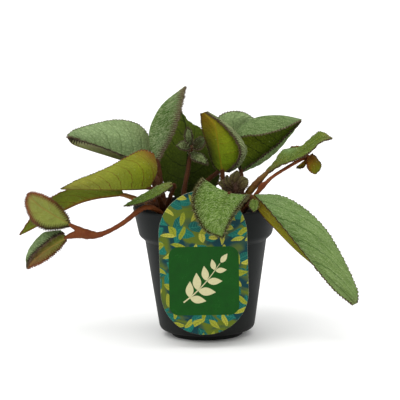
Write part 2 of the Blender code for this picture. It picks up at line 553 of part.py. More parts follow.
def tube(name, places):
    """A stem through its places, with the radius given at each, as a bevelled curve turned to a mesh."""
    spine = np.array([[*seen(*p[:3]), p[3]] for p in places])
    count = max(4, int(np.linalg.norm(np.diff(spine[:, :3], axis=0), axis=1).sum() / STEM_STEP) + 1)
    spine = through(spine, np.linspace(0, 1, count + 1))
    curve = bpy.data.curves.new(name, "CURVE")
    curve.dimensions, curve.use_fill_caps = "3D", True
    curve.bevel_depth, curve.bevel_resolution = MM, TUBE_SIDES // 2 - 2
    line = curve.splines.new("POLY")
    line.points.add(len(spine) - 1)
    for point, (x, y, z, radius) in zip(line.points, spine):
        point.co = (x * MM, y * MM, z * MM, 1)
        point.radius = radius
    holder = bpy.data.objects.new(name, curve)
    bpy.context.scene.collection.objects.link(holder)
    mesh = bpy.data.meshes.new_from_object(holder.evaluated_get(bpy.context.evaluated_depsgraph_get()))
    bpy.data.objects.remove(holder)
    work = bmesh.new()
    work.from_mesh(mesh)
    bmesh.ops.remove_doubles(work, verts=work.verts, dist=1e-6)
    bmesh.ops.recalc_face_normals(work, faces=work.faces)
    work.to_mesh(mesh)
    work.free()
    return mesh


def fused(name, meshes, slot):
    """One body from several meshes that run into each other."""
    body = add(name, meshes[0], slot)
    pieces = bpy.data.collections.new(f"{name}_pieces")
    CUTTERS.children.link(pieces)
    for i, mesh in enumerate(meshes[1:]):
        piece = add(f"{name}_piece_{i}", mesh, helper=True)
        CUTTERS.objects.unlink(piece)
        pieces.objects.link(piece)
    step = body.modifiers.new("join", "BOOLEAN")
    step.operation, step.solver = "UNION", "EXACT"
    step.operand_type, step.collection = "COLLECTION", pieces
    bpy.context.view_layer.update()
    joined = bpy.data.meshes.new_from_object(body.evaluated_get(bpy.context.evaluated_depsgraph_get()))
    body.modifiers.remove(step)
    body.data = joined
    for piece in list(pieces.objects):
        bpy.data.objects.remove(piece)
    bpy.data.collections.remove(pieces)
    return body


def ovoid(name, middle, radii):
    """A ball stretched to a radius along each axis, in mm."""
    work = bmesh.new()
    bmesh.ops.create_uvsphere(work, u_segments=12, v_segments=8, radius=1.0)
    for vert in work.verts:
        vert.co = [(m + c * r) * MM for m, c, r in zip(middle, vert.co, radii)]
    mesh = bpy.data.meshes.new(name)
    work.to_mesh(mesh)
    work.free()
    return mesh


def crown(name, where):
    """The short stump from which a group's stems grow."""
    x, y, radius, foot, top = where
    return ovoid(name, (x, y, (foot + top) / 2), (radius, radius, (top - foot) / 2))


def build_pot():
    pot = turned("pot", POT_OUTSIDE + [(0.0, 0.0),
                                       (0.0, POT_INSIDE[0][1])] + POT_INSIDE + POT_OUTSIDE[:1], "pot")
    for i in range(DRAIN_COUNT):
        angle = math.tau * (i + 0.5) / DRAIN_COUNT
        x, y = DRAIN_RING * math.cos(angle), DRAIN_RING * math.sin(angle)
        boolean(pot, cylinder(f"drain_{i}", x, y, 2.0, 9.0, DRAIN_RADIUS, 12), "DIFFERENCE")
    return pot


def build_soil():
    inside = [(r - SOIL_GAP, z) for r, z in POT_INSIDE if z < SOIL_EDGE_HEIGHT]
    inside = [(r, z + SOIL_GAP if i < 4 else z) for i, (r, z) in enumerate(inside)]
    top = [(0.0, SOIL_MIDDLE_HEIGHT), (24, 97.4), (41, 96.4), (55.1, SOIL_EDGE_HEIGHT)]
    profile = top + inside[::-1] + [(0.0, inside[0][1])]
    soil = turned("soil", profile, "soil")
    for name, (x, y, radius, foot, _) in CROWNS.items():
        boolean(soil, cylinder(f"hole_{name}", x, y, foot - 1.5, 110.0, radius + HOLE_GAP), "DIFFERENCE")
    slot = box(CARD_X, -STRAP_BACK, STRAP_END - 1.0, 110.0, STRAP_WIDTH + 0.8, STRAP_THICKNESS + 0.8)
    slot = mesh_of("hole_strap", *slot)
    boolean(soil, add("hole_strap", slot, helper=True), "DIFFERENCE")
    return soil


def box(x, y, bottom, top, width, depth):
    """Points and faces of an upright box."""
    half, deep = width / 2, depth / 2
    corners = [(-half, -deep), (half, -deep), (half, deep), (-half, deep)]
    points = [(x + dx, y + dy, z) for z in (bottom, top) for dx, dy in corners]
    return points, [(3, 2, 1, 0), (4, 5, 6, 7), (0, 1, 5, 4), (1, 2, 6, 5), (2, 3, 7, 6), (3, 0, 4, 7)]


def card_points(front):
    """The card's outline at its front or back face, as it hangs, leaning and turned a little."""
    half, depth = CARD_WIDTH / 2, 0.0 if front else CARD_THICKNESS
    outline = []
    for centre, start in ((CARD_HEIGHT - half, 0.0), (half, math.pi)):
        for i in range(19):
            angle = start + math.pi * i / 18
            outline.append((half * math.cos(angle), centre + half * math.sin(angle)))
    points = []
    cos, sin = math.cos(CARD_TURN), math.sin(CARD_TURN)
    for x, z in outline:
        x, z = x * cos - z * sin, x * sin + z * cos
        lean = (CARD_HEIGHT - z) * math.tan(CARD_LEAN)
        points.append((CARD_X + 0.9 + x, -CARD_FRONT + depth + lean, CARD_FOOT + z))
    return points


def build_tag():
    front, back = card_points(True), card_points(False)
    n = len(front)
    faces = [tuple(range(n)), tuple(range(2 * n - 1, n - 1, -1))]
    faces += [(i, (i + 1) % n, n + (i + 1) % n, n + i) for i in range(n)]
    tag = add("tag", mesh_of("tag", front + back, faces), "tag")
    low, high = STRAP_HEIGHT - STRAP_THICKNESS / 2, STRAP_HEIGHT + STRAP_THICKNESS / 2
    deep = CARD_FRONT - 0.4 - STRAP_BACK
    middle = -STRAP_BACK - deep / 2 + STRAP_THICKNESS / 4
    over = box(CARD_X, middle, low, high, STRAP_WIDTH, deep + STRAP_THICKNESS / 2)
    down = box(CARD_X, -STRAP_BACK, STRAP_END, high, STRAP_WIDTH, STRAP_THICKNESS)
    boolean(tag, add("strap_over", mesh_of("strap_over", *over), helper=True), "UNION")
    boolean(tag, add("strap_down", mesh_of("strap_down", *down), helper=True), "UNION")
    return tag


def build_blades():
    for name, given in BLADES.items():
        points, faces = blade_solid(given, given.get("grain", 12), 3, BLADE_THICKNESS)
        add(name, mesh_of(name, points, faces), "pale_leaf" if name in PALE else "green_leaf")


def build_clusters():
    for name, leaves in CLUSTERS.items():
        grain = 6 if name == "leaves_runner_right" else 5
        meshes = [mesh_of(name, *blade_solid(leaf, grain, 1, BLADE_THICKNESS)) for leaf in leaves]
        cores = [tube(name, places) for places in CLUSTER_CORES[name]]
        fused(name, cores[:1] + meshes + cores[1:], "bud" if name.startswith("buds") else "green_leaf")
    balls = [ovoid("buds_left", seen(*place), radii) for place, radii in BUDS_LEFT]
    fused("buds_left", [tube("buds_left", BUDS_LEFT_STALK)] + balls, "bud")


def build_stems():
    for name, (where, tubes) in STEMS.items():
        fused(name, [crown(name, CROWNS[where])] + [tube(name, places) for places in tubes], "stem")
    for name, tubes in RUNNERS.items():
        fused(name, [tube(name, places) for places in tubes], "stem")


for old in list(bpy.data.objects):
    bpy.data.objects.remove(old)
PLANT = collection("flame_violet")
CUTTERS = collection("cutters", hidden=True)
build_pot()
build_soil()
build_tag()
build_blades()
build_clusters()
build_stems()
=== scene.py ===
# %% [markdown]
# # A flame violet in its nursery pot
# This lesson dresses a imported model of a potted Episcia: leaves with veins, puckers and hairs, soft
# stems, peat, a moulded pot and a printed tag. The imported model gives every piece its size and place.
# Each piece here stands for one of the model's nodes and keeps that node's form, only finer.

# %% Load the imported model
import math

import bmesh
import bpy
import numpy as np
from mathutils import Matrix, noise, Vector


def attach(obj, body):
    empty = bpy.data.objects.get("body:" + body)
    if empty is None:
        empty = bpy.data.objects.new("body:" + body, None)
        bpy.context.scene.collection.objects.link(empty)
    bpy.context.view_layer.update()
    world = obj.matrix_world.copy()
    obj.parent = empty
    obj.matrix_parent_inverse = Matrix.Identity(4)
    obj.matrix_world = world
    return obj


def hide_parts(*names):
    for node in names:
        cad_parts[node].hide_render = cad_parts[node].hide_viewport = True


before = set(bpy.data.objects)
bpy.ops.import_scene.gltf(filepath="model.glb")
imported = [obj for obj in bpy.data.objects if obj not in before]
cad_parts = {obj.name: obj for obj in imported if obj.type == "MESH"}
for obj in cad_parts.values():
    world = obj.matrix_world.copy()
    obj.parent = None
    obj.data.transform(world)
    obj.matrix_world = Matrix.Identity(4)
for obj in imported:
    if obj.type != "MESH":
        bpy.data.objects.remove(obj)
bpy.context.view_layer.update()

MM = 0.001
SCENE = bpy.context.scene
print("nodes:", len(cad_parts))


def placed(name, data, collection=SCENE.collection):
    """A new object of this data in the scene."""
    obj = bpy.data.objects.new(name, data)
    collection.objects.link(obj)
    return obj

# %% [markdown]
# ## The camera
# The plant was traced through the camera that took the photograph, so the same camera comes first. It
# stands 1.35 m in front of the pot, a little above it, tips down by 8 degrees and rolls by 1 degree.
# Its focal length is given in pixels of the 400 pixel square picture and turned into mm for Blender.

# %% Camera
EYE = np.array([-4.3, -1350.0, 305.0])
PITCH, ROLL = math.radians(8.12), math.radians(0.9)
FOCAL_PIXELS, PICTURE, SENSOR = 1648.0, 400.0, 36.0
FORWARD = np.array([0.0, math.cos(PITCH), -math.sin(PITCH)])
LEVEL = np.array([1.0, 0.0, 0.0])
UPRIGHT = np.cross(LEVEL, FORWARD)
RIGHT = LEVEL * math.cos(ROLL) - UPRIGHT * math.sin(ROLL)
UP = UPRIGHT * math.cos(ROLL) + LEVEL * math.sin(ROLL)

camera = placed("camera", bpy.data.cameras.new("camera"))
camera.data.sensor_width = SENSOR
camera.data.lens = FOCAL_PIXELS / PICTURE * SENSOR
camera.data.clip_start, camera.data.clip_end = 0.05, 60.0
turn = np.stack([RIGHT, UP, -FORWARD], 1)
camera.matrix_world = Matrix([(*row, eye * MM) for row, eye in zip(turn, EYE)] + [(0, 0, 0, 1)])
SCENE.camera = camera
print("lens:", round(camera.data.lens, 1), "mm")


def seen(places):
    """The points, in mm, that the picture shows at rows of (across, down, nearer than the pot's axis)."""
    places = np.asarray(places, float)
    across, down = places[:, :1] - PICTURE / 2, places[:, 1:2] - PICTURE / 2
    ray = FORWARD * FOCAL_PIXELS + RIGHT * across - UP * down
    return EYE + ray * ((-EYE[1] - places[:, 2:3]) / ray[:, 1:2])

# %% [markdown]
# ## Materials and node trees
# Colours are written as sRGB hex codes and turned into linear ones by one function. Every material and
# every Geometry Nodes tree of this lesson is built with the few short methods below.

# %% Node trees
def linear(code):
    """An sRGB hex colour such as #4a6b2f as linear red, green, blue and 1."""
    parts = [int(code[i:i + 2], 16) / 255 for i in (1, 3, 5)]
    return (*[c / 12.92 if c <= 0.04045 else ((c + 0.055) / 1.055) ** 2.4 for c in parts], 1.0)


class Nodes:
    """A material's node tree or a geometry tree, with a short method for each node that comes often."""

    def __init__(self, name, geometry=False):
        if geometry:
            self.tree = bpy.data.node_groups.new(name, "GeometryNodeTree")
            return
        self.material = bpy.data.materials.new(name)
        self.material.use_nodes = True
        self.tree = self.material.node_tree
        self.tree.nodes.clear()

    def add(self, kind, inputs=None, **settings):
        """Adds a node. Settings are its properties; inputs gives a socket a value, a hex colour or a link."""
        made = self.tree.nodes.new(kind)
        for name, value in settings.items():
            setattr(made, name, value)
        for key, value in (inputs or {}).items():
            if isinstance(value, bpy.types.Node):
                value = value.outputs[0]
            if isinstance(value, bpy.types.NodeSocket):
                self.tree.links.new(value, made.inputs[key])
            else:
                made.inputs[key].default_value = linear(value) if str(value)[0] == "#" else value
        return made

    def maths(self, operation, a, b=0.0, clamp=False):
        return self.add("ShaderNodeMath", {0: a, 1: b}, operation=operation, use_clamp=clamp).outputs[0]

    def plus(self, a, b):
        return self.maths("ADD", a, b)

    def minus(self, a, b, clamp=False):
        return self.maths("SUBTRACT", a, b, clamp)

    def times(self, a, b, clamp=False):
        return self.maths("MULTIPLY", a, b, clamp)

    def size(self, a):
        return self.maths("ABSOLUTE", a)

    def vectors(self, operation, a, b):
        second = 3 if operation == "SCALE" else 1
        return self.add("ShaderNodeVectorMath", {0: a, second: b}, operation=operation)

    def parts(self, vector):
        return self.add("ShaderNodeSeparateXYZ", {0: vector}).outputs

    def place(self):
        return self.add("ShaderNodeTexCoord").outputs["Object"]

    def noise(self, place, scale, detail=2.0, roughness=0.5, **more):
        return self.add("ShaderNodeTexNoise", {"Vector": place, "Scale": scale, "Detail": detail,
                                               "Roughness": roughness, **more})

    def bent(self, place, scale, detail, reach):
        """Places pushed about by a noise."""
        push = self.vectors("SCALE", self.noise(place, scale, detail).outputs["Color"], reach)
        return self.vectors("ADD", place, push)

    def ranged(self, value, low, high, to_low=0.0, to_high=1.0):
        return self.add("ShaderNodeMapRange", {0: value, 1: low, 2: high, 3: to_low, 4: to_high})

    def mixed(self, share, a, b, way="MIX"):
        return self.add("ShaderNodeMix", {0: share, 6: a, 7: b}, data_type="RGBA", blend_type=way).outputs[2]

    def finished(self, colour, roughness, specular=0.5, height=None, depth=0.0, strength=1.0, glow=0.0,
                 ior=1.5):
        """The material, ended in a Principled shader. Bumps have a depth in m; glow lets light through."""
        bump = {}
        if height is not None:
            bump["Normal"] = self.add("ShaderNodeBump", {"Height": height, "Distance": depth,
                                                         "Strength": strength})
        skin = self.add("ShaderNodeBsdfPrincipled", {"Base Color": colour, "Roughness": roughness, "IOR": ior,
                                                     "Specular IOR Level": specular, **bump})
        if glow:
            through_it = self.add("ShaderNodeBsdfTranslucent", {"Color": colour, **bump})
            skin = self.add("ShaderNodeMixShader", {0: glow, 1: skin, 2: through_it})
        self.add("ShaderNodeOutputMaterial", {"Surface": skin})
        return self.material

    def socket(self, name, kind, default=None, way="INPUT"):
        """Adds an input or output of a geometry tree."""
        made = self.tree.interface.new_socket(name, in_out=way, socket_type=f"NodeSocket{kind}")
        if default is not None:
            made.default_value = default

    def stored(self, name, kind="FLOAT"):
        return self.add("GeometryNodeInputNamedAttribute", {0: name}, data_type=kind).outputs[0]

    def random(self, kind, seed, **limits):
        """A random value for each point, with its limits by the numbers of their sockets."""
        limits = {int(key[1:]): value for key, value in limits.items()}
        return self.add("FunctionNodeRandomValue", {**limits, "Seed": seed}, data_type=kind)

    def ended(self, made, finish):
        """Makes instances real, in a finish."""
        real = self.add("GeometryNodeRealizeInstances", {0: made})
        return self.add("GeometryNodeSetMaterial", {0: real, "Material": finish})

# %% [markdown]
# ## Light and floor
# The photograph has soft light from all round, a little stronger from above and in front. A pale world
# gives the even part. Three wide suns give the leaves their form: a sun lights the whole floor alike,
# so the ground stays evenly pale, where a lamp nearby would leave a bright pool.

# %% Light and floor
def sun(name, toward, strength, spread):
    """A sun that shines along a direction, as wide in the sky as its spread in degrees."""
    light = bpy.data.lights.new(name, "SUN")
    light.energy, light.angle = strength, math.radians(spread)
    placed(name, light).rotation_euler = Vector(toward).to_track_quat("-Z", "Y").to_euler()


sun("front sun", (0.45, 0.75, -1.0), 1.9, 60)
sun("right sun", (-0.9, 0.35, -0.8), 0.7, 60)
sun("back sun", (0.1, -0.6, -1.2), 0.55, 60)

world = bpy.data.worlds.new("pale room")
SCENE.world = world
world.use_nodes = True
world.node_tree.nodes["Background"].inputs["Color"].default_value = linear("#f8f9fa")
world.node_tree.nodes["Background"].inputs["Strength"].default_value = 0.75
SCENE.view_settings.view_transform = "Standard"

sheet = Nodes("matt white paper sweep")
paper = sheet.finished(sheet.mixed(sheet.noise(sheet.place(), 3.0), "#f4f4f2", "#f8f8f7"), 0.9)
HALF_FLOOR = 30
mesh = bpy.data.meshes.new("floor")
mesh.from_pydata([(x * HALF_FLOOR, y * HALF_FLOOR, 0) for x, y in ((-1, -1), (1, -1), (1, 1), (-1, 1))],
                 [], [(0, 1, 2, 3)])
mesh.materials.append(paper)
floor = placed("floor", mesh)

# %% [markdown]
# ## Where the leaves and stems are
# Every rail of a leaf and every stem is a row of places: across and down in the picture's pixels, and
# how near the place is, in mm in front of the pot's axis. They are the model's own places, so the fine
# leaves keep the form of the solids that they stand for.

# %% Places of the leaves, clusters and stems
# Where each crown stands in the soil: x, y, radius, foot height and top height.
CROWNS = {
    "left": (-32.5, -18, 5.2, 82, 103),
    "middle": (-17.5, 6, 5.6, 82, 104),
    "right": (26.5, -12, 6.2, 82, 106),
}

# Each blade: its midrib, then on each side the rails that its surface runs through from the midrib out
# to the margin. Left and right are as seen from its base on its upper side. Bulge arches a half that
# has only a margin, as a share of its width. Teeth says how far apart the margin's teeth stand and
# depth how deep they are cut.
BLADES = {
    "leaf_left_top": dict(teeth=2.2, depth=0.5, bulge=0.1,
        rib=[(147, 166, 0), (133, 162.8, 2), (118, 158.6, 4), (103, 154, 6), (87, 149, 8), (73.6, 144.2, 9.5),
        (67.8, 138.4, 10)],
        left=[[(147, 163.5, 5), (135, 159.8, 15), (120.5, 154.6, 21), (104, 148, 25), (87, 142.2, 23),
        (75, 138.4, 16), (67.6, 137.2, 11)]],
        right=[[(151.4, 152, -2), (151, 138, -5), (139, 123.6, -5), (118, 118.8, -4), (95, 122.6, 0),
        (74.4, 128.6, 7), (67.2, 134.6, 9.6)]]),
    "leaf_left_middle": dict(teeth=2.2, depth=0.4, bulge=0.06,
        rib=[(150, 188, 30), (136, 189, 32), (121, 189.3, 34), (106, 189.2, 35), (91, 189, 36),
        (76, 188.8, 37), (60.8, 189.2, 38)],
        left=[[(157.2, 170, 36), (142, 168, 40), (122, 173, 42), (104, 179, 43), (88, 183, 42),
        (74, 185.6, 41), (60.5, 188.9, 38.5)], [(154, 153.4, 34), (142.5, 149, 37), (127, 156, 39),
        (110, 165.5, 40), (93, 173, 40), (76, 179.6, 39), (60.3, 188.4, 38.5)]],
        right=[[(150, 172, 15), (141, 167, 9), (127, 167, 8), (110, 171.5, 9), (93, 177, 15), (77, 183, 25),
        (60.8, 188.8, 37)]]),
    "leaf_left_low": dict(teeth=2.2, depth=0.4, bulge=0.08,
        rib=[(124, 194.6, 8), (110, 196.3, 8), (95, 198.5, 8), (78, 203.5, 8), (58, 213.5, 8), (38, 225.5, 8),
        (19.5, 235.2, 8)],
        left=[[(121.5, 189.6, 11), (106, 186.5, 17), (88, 187, 18), (68, 188.8, 19), (48, 199, 18),
        (29.5, 218.5, 14), (19.6, 234.4, 9)]],
        right=[[(121, 193, 3), (104, 190, -6), (86, 191.5, -9), (67, 197, -9), (47, 209, -7), (29.5, 221, -1),
        (19.6, 234.8, 6)]]),
    "leaf_runner_left_upper": dict(teeth=1.7, depth=0.6, bulge=0.1,
        rib=[(71.6, 225.6, 31), (61, 219.5, 33.5), (50, 213, 36), (40, 206.5, 37.5), (32, 199.2, 38.5),
        (27.6, 193.6, 39)],
        left=[[(71, 223.5, 30.5), (69.5, 216, 29), (60, 204, 28), (46.5, 194.6, 29), (33.2, 190.8, 32.6),
        (28, 192.9, 38)]],
        right=[[(69.5, 227, 33), (57, 230.4, 38), (43, 230, 42), (31, 221.3, 44), (24.2, 203.6, 43),
        (27, 194.2, 39.5)]]),
    "leaf_runner_left_lower": dict(teeth=1.7, depth=0.6, bulge=0.08,
        rib=[(67, 237.2, 31), (57.5, 242.7, 31), (48.5, 248.4, 31), (40.5, 254.5, 31), (33.5, 261, 31.5),
        (27, 268.8, 32)],
        left=[[(60.5, 230.6, 27), (45, 232.4, 26), (36.3, 239.5, 26.5), (29.9, 248, 28), (26.4, 257, 29.5),
        (26.4, 267.6, 31.5)], [(64.5, 233, 32.5), (54.5, 237.8, 34.5), (46.2, 244, 35.5), (38.3, 250.6, 35.5),
        (31.3, 258.4, 34.5), (26.9, 268, 32.5)]],
        right=[[(67, 241, 29), (62.2, 248.4, 26), (55.2, 255.2, 25), (47.2, 261.4, 25.5), (38, 266.4, 28),
        (28.4, 269.4, 31.5)]]),
    "leaf_small_left": dict(teeth=1.6, depth=0.4, bulge=0.12,
        rib=[(172.5, 184, 42), (163, 188.6, 43), (152, 194, 44), (141, 199.5, 45), (131, 203.8, 46),
        (123.6, 206.3, 47)],
        left=[[(173, 187, 45), (163, 194, 52), (152, 200, 55), (141, 204.2, 55), (131, 206.3, 52),
        (123.8, 206.7, 47.5)]],
        right=[[(171, 182, 39), (161.5, 184, 35), (150, 190.4, 34), (138.5, 196.6, 36), (129, 202.4, 41),
        (123.4, 206, 46.5)]]),
    "leaf_top": dict(teeth=1.7, depth=0.5, bulge=0.12,
        rib=[(157.2, 162, 14), (150.9, 149, 14), (149.2, 134, 13), (153.3, 119.6, 12), (164, 103, 13),
        (185.6, 86.2, 16)],
        left=[[(158.4, 160, 10), (159, 147, 0), (161, 132, -6), (165.5, 118, -6), (173, 104.5, 0),
        (185.3, 86.8, 14)]],
        right=[[(159.2, 161.6, 13), (164.5, 151, 7), (172, 138, 3), (177.8, 123.5, 3), (182.6, 106, 8),
        (186, 86.6, 17)]]),
    "leaf_back_upright": dict(teeth=2.2, depth=0.4, bulge=0.08,
        rib=[(183.5, 197, -12), (185, 184, -13), (186.5, 168, -14), (187.5, 151, -15), (187, 134, -17),
        (183.5, 118, -19), (176.5, 103.5, -22)],
        left=[[(189, 200, -16), (208, 194, -21), (220, 180, -24), (217.2, 156, -26), (204.5, 131, -28),
        (188.5, 120.6, -26), (177.4, 103.5, -23)]],
        right=[[(180.6, 200, -16), (172, 195.5, -20), (164.2, 185.5, -22), (157, 164, -24), (161, 138, -26),
        (168.5, 119, -26), (175.8, 103.3, -23)]]),
    "leaf_cupped": dict(teeth=1.7, depth=0.4, bulge=0.08,
        rib=[(222.4, 171.6, 14), (221, 162, 15), (219, 150, 16), (217.5, 138, 15), (214, 125, 12),
        (203.6, 112.6, 8)],
        left=[[(229, 172.6, 9), (239, 165.3, 6), (245.6, 151, 4), (240, 138, 3), (227, 124, 3),
        (207.5, 111.4, 6)], [(227, 171.4, 13), (235.8, 162.6, 12.5), (239.6, 151.6, 11.5),
        (234.6, 139.4, 10.5), (222.6, 125, 9), (205.6, 112.6, 8.5)]],
        right=[[(219, 171.5, 11), (212.5, 165.5, 9), (208.3, 153, 8), (204.4, 140, 7), (200.8, 127, 6),
        (200, 113.4, 6)]]),
    "leaf_right_roof": dict(teeth=2.2, depth=0.5, bulge=0.12,
        rib=[(240.5, 170.5, -8), (234, 156, -11), (233, 140, -13), (241, 126, -14), (258, 117.3, -14),
        (281, 115.6, -13), (301.5, 119.4, -11)],
        left=[[(243, 172, -11), (250, 168, -20), (258.5, 163.3, -25), (269, 155.3, -27), (279, 146.4, -25),
        (291, 132.8, -19), (301.2, 121.8, -12)], [(243, 170.6, -8.5), (248, 166.6, -16),
        (255.6, 160.8, -20.5), (266, 152.9, -22.5), (276.6, 144.6, -21.5), (289.6, 131.8, -17),
        (301, 121.2, -11)]],
        right=[[(241.6, 168.5, -6), (238.5, 158, -5), (237.5, 146, -3.5), (243.5, 137.4, -2),
        (262, 135.6, -1), (284, 129.4, -4), (301.2, 120.8, -10)]]),
    "leaf_back_pale": dict(teeth=2.2, depth=0.4, bulge=0.1,
        rib=[(221, 157, -37), (224.5, 147, -39), (231, 137, -40), (241, 129.5, -41), (252.5, 126, -41),
        (264, 127, -40)],
        left=[[(218.5, 155, -36), (212.5, 140, -36), (213.5, 123, -37), (224, 112.4, -38),
        (243.5, 111.6, -39), (263.6, 125.6, -40)]],
        right=[[(224, 157, -36), (233, 153, -35), (243, 147, -35), (252, 141, -36), (259, 134.5, -37),
        (264.4, 128, -39.5)]]),
    "leaf_front": dict(teeth=1.5, depth=0.6, bulge=0.05,
        rib=[(229, 193.2, 61), (225.5, 198.6, 70), (222.5, 208, 71.5), (221.3, 219, 74), (221.6, 229, 75),
        (222.8, 237.8, 75.5)],
        left=[[(202.6, 177.8, 58), (194, 189.6, 69), (191.2, 202, 71.5), (194.6, 215.5, 73.5),
        (204.8, 231, 74.5), (221.8, 238, 75.5)]],
        right=[[(249, 194.6, 57), (247, 199, 65), (241, 206.5, 70), (235.2, 214.5, 72), (229.6, 224, 73.5),
        (224, 236.8, 75.5)]]),
    "leaf_right_drooping": dict(teeth=2.6, depth=0.5, bulge=0.1,
        rib=[(252.5, 196.5, 35), (260.4, 211.4, 47), (277, 230, 55), (297, 250.4, 61), (319, 269.4, 65.4),
        (342, 290.6, 68.6), (355.4, 304, 70.3)],
        left=[[(256.5, 194.5, 33), (281.5, 195.2, 33), (305.4, 208, 39.4), (327.5, 230, 47), (345, 260, 55.5),
        (358.2, 290, 66), (358, 302.6, 70)]],
        right=[[(254.5, 194.8, 38), (265, 205, 56), (281.5, 225, 66), (299.5, 247.6, 71), (316.6, 270.4, 73),
        (334.6, 291.8, 73.6), (352, 305.4, 71)]]),
    "leaf_right_narrow": dict(teeth=1.7, depth=0.4, bulge=0.08,
        rib=[(267.4, 172.4, 16), (278.5, 165, 15), (291, 158.6, 14), (304, 150.6, 13), (315, 142.4, 13),
        (324, 138, 13), (332.5, 138.6, 13)],
        left=[[(265.6, 170.4, 13), (274, 161.6, 6), (282.5, 149.8, 2), (300, 146.4, 1), (311.4, 137, 3),
        (320.5, 131, 7), (332.2, 138, 12)]],
        right=[[(269.6, 173.4, 19), (280, 166.6, 24), (292, 161.9, 27), (303.4, 157.4, 27),
        (312.6, 151.2, 25), (320, 143.6, 20), (332.4, 139.2, 14)]]),
    "leaf_small_right": dict(teeth=1.5, depth=0.3, bulge=0.1,
        rib=[(254.4, 199.5, 51.5), (254.9, 202.5, 53), (254.7, 207, 54), (254.1, 211.6, 54)],
        left=[[(256.8, 198.4, 51), (259.2, 202, 51.5), (258.8, 207, 52.5), (255, 212, 53.6)]],
        right=[[(251.6, 198.6, 52), (248.4, 202.2, 54), (248.2, 206.6, 55), (252.4, 211.8, 54.4)]]),
    "leaf_behind_pot": dict(teeth=2.2, depth=0.5, bulge=0.1,
        rib=[(193, 191, -42), (194, 188.5, -56), (195, 196, -72), (197, 215, -84), (199, 238, -92),
        (201, 263, -98)],
        left=[[(190, 191, -42), (180, 189, -57), (174.6, 199, -71), (175.6, 218, -79), (184, 244, -88),
        (199.6, 263.4, -98)]],
        right=[[(196, 191, -42), (207.6, 189, -57), (215, 199, -71), (218.4, 218, -79), (214.6, 244, -88),
        (202.4, 263.4, -98)]]),
}

# Small leaves that grow so close together that each group is one body.
CLUSTERS = {
    "leaves_middle_small": [
        dict(rib=[(191.5, 146, -2), (189.5, 140, -1), (188.4, 133, -2), (187.8, 127, -4)],
             left=[[(190.5, 146, -2), (184.8, 141, 0), (184.2, 132.5, -1), (187.4, 127, -4)]],
             right=[[(193, 145, -2), (193.4, 139, 0), (192, 131, -1), (188.6, 127.2, -4)]]),
        dict(rib=[(191, 147.5, -2), (186.5, 148.6, 2), (181.5, 148.4, 4), (176.6, 145.6, 5)],
             left=[[(191, 148.6, 0), (188, 150.8, 5), (182, 150.2, 8), (176.6, 146.2, 5.5)]],
             right=[[(190.6, 145, -4), (187, 140.4, -4), (181, 141, -1), (176.6, 145, 4)]]),
        dict(rib=[(192.5, 147, -2), (197.5, 146.5, 1), (202, 143, 2), (206.4, 138.4, 2)],
             left=[[(192.5, 145, -4), (195.5, 139.4, -4), (200, 136.6, -3), (206, 137.8, 1.5)]],
             right=[[(193, 149, 0), (198.5, 150.4, 5), (203.6, 147, 6), (206.6, 139.2, 2.5)]]),
        dict(rib=[(190.5, 152.5, -1), (196, 156, 3), (202, 160, 5), (208, 164.6, 6)],
             left=[[(191.5, 151.6, -2), (200, 152.6, 0), (205.4, 156.4, 3), (208.4, 164, 6)]],
             right=[[(189.5, 154, 1), (192, 160, 6), (199, 163, 7.5), (207.6, 165.2, 6.4)]]),
    ],
    "buds_right": [
        dict(rib=[(233, 192, 18), (227, 187, 20), (222, 183.6, 20), (217.6, 183, 19)],
             left=[[(231, 194, 20), (226, 191.4, 24), (221.4, 187.6, 24), (217.4, 183.8, 20)]],
             right=[[(234, 190, 16), (229, 182.6, 15), (223, 180, 16), (218, 182.2, 18)]]),
        dict(rib=[(234, 190, 19), (229.4, 185, 22), (226.8, 180.5, 22.6), (226.6, 175, 21)],
             left=[[(232.4, 191, 20), (226.4, 187.6, 24), (223, 181.4, 24), (226, 175.2, 21.4)]],
             right=[[(235.6, 189, 18), (232, 182.6, 19.6), (230, 178.4, 19.4), (227.2, 175, 20.6)]]),
        dict(rib=[(237, 190, 18), (240, 184, 20), (243.6, 180.4, 20), (248, 180, 18)],
             left=[[(235, 189, 16), (237, 180.4, 14), (242, 176, 14), (247.6, 179, 17)]],
             right=[[(239, 192, 20), (244, 190, 24), (248, 186.4, 23), (248.4, 181, 19)]]),
        dict(rib=[(235, 189, 16), (233, 182, 18), (233.6, 176, 16), (237, 170.6, 12)],
             left=[[(232, 190, 17), (228.4, 182.6, 19), (229.6, 175.6, 18), (236, 170.6, 12.5)]],
             right=[[(238, 188, 15), (239, 180.6, 14), (240.6, 174.6, 12), (238.2, 170.8, 11.5)]]),
    ],
    "leaves_runner_right": [
        dict(rib=[(308.5, 156.5, 10), (312, 161, 13), (314.6, 167.6, 14), (315, 174, 12)],
             left=[[(312.6, 153, 8), (318.4, 159, 8), (321.8, 166.6, 8), (316.4, 174, 11)]],
             right=[[(306.4, 158.6, 12), (305.8, 164, 15), (308, 170.4, 15), (313.6, 174.2, 12.6)]]),
        dict(rib=[(306.4, 158.6, 10.5), (303.8, 162.6, 14.5), (300, 166.2, 16), (296.4, 168.2, 15.5)],
             left=[[(307.2, 159.2, 11), (305.4, 166.6, 16), (301, 169, 17), (296.8, 168.8, 15.8)]],
             right=[[(305.6, 158.6, 11.5), (300.7, 163.4, 15), (297, 165.6, 14.8), (296, 167.6, 15)]]),
        dict(rib=[(306.4, 157.2, 8.6), (301, 152.5, -4), (296.5, 149, -8), (291, 146.6, -9)],
             left=[[(305.6, 158, 9), (298.6, 155, -4), (292.5, 152, -8), (290.4, 147.4, -9)]],
             right=[[(307.2, 156.4, 8), (304, 149.6, -5), (299, 145.8, -9), (291.8, 146, -9.4)]]),
    ],
}

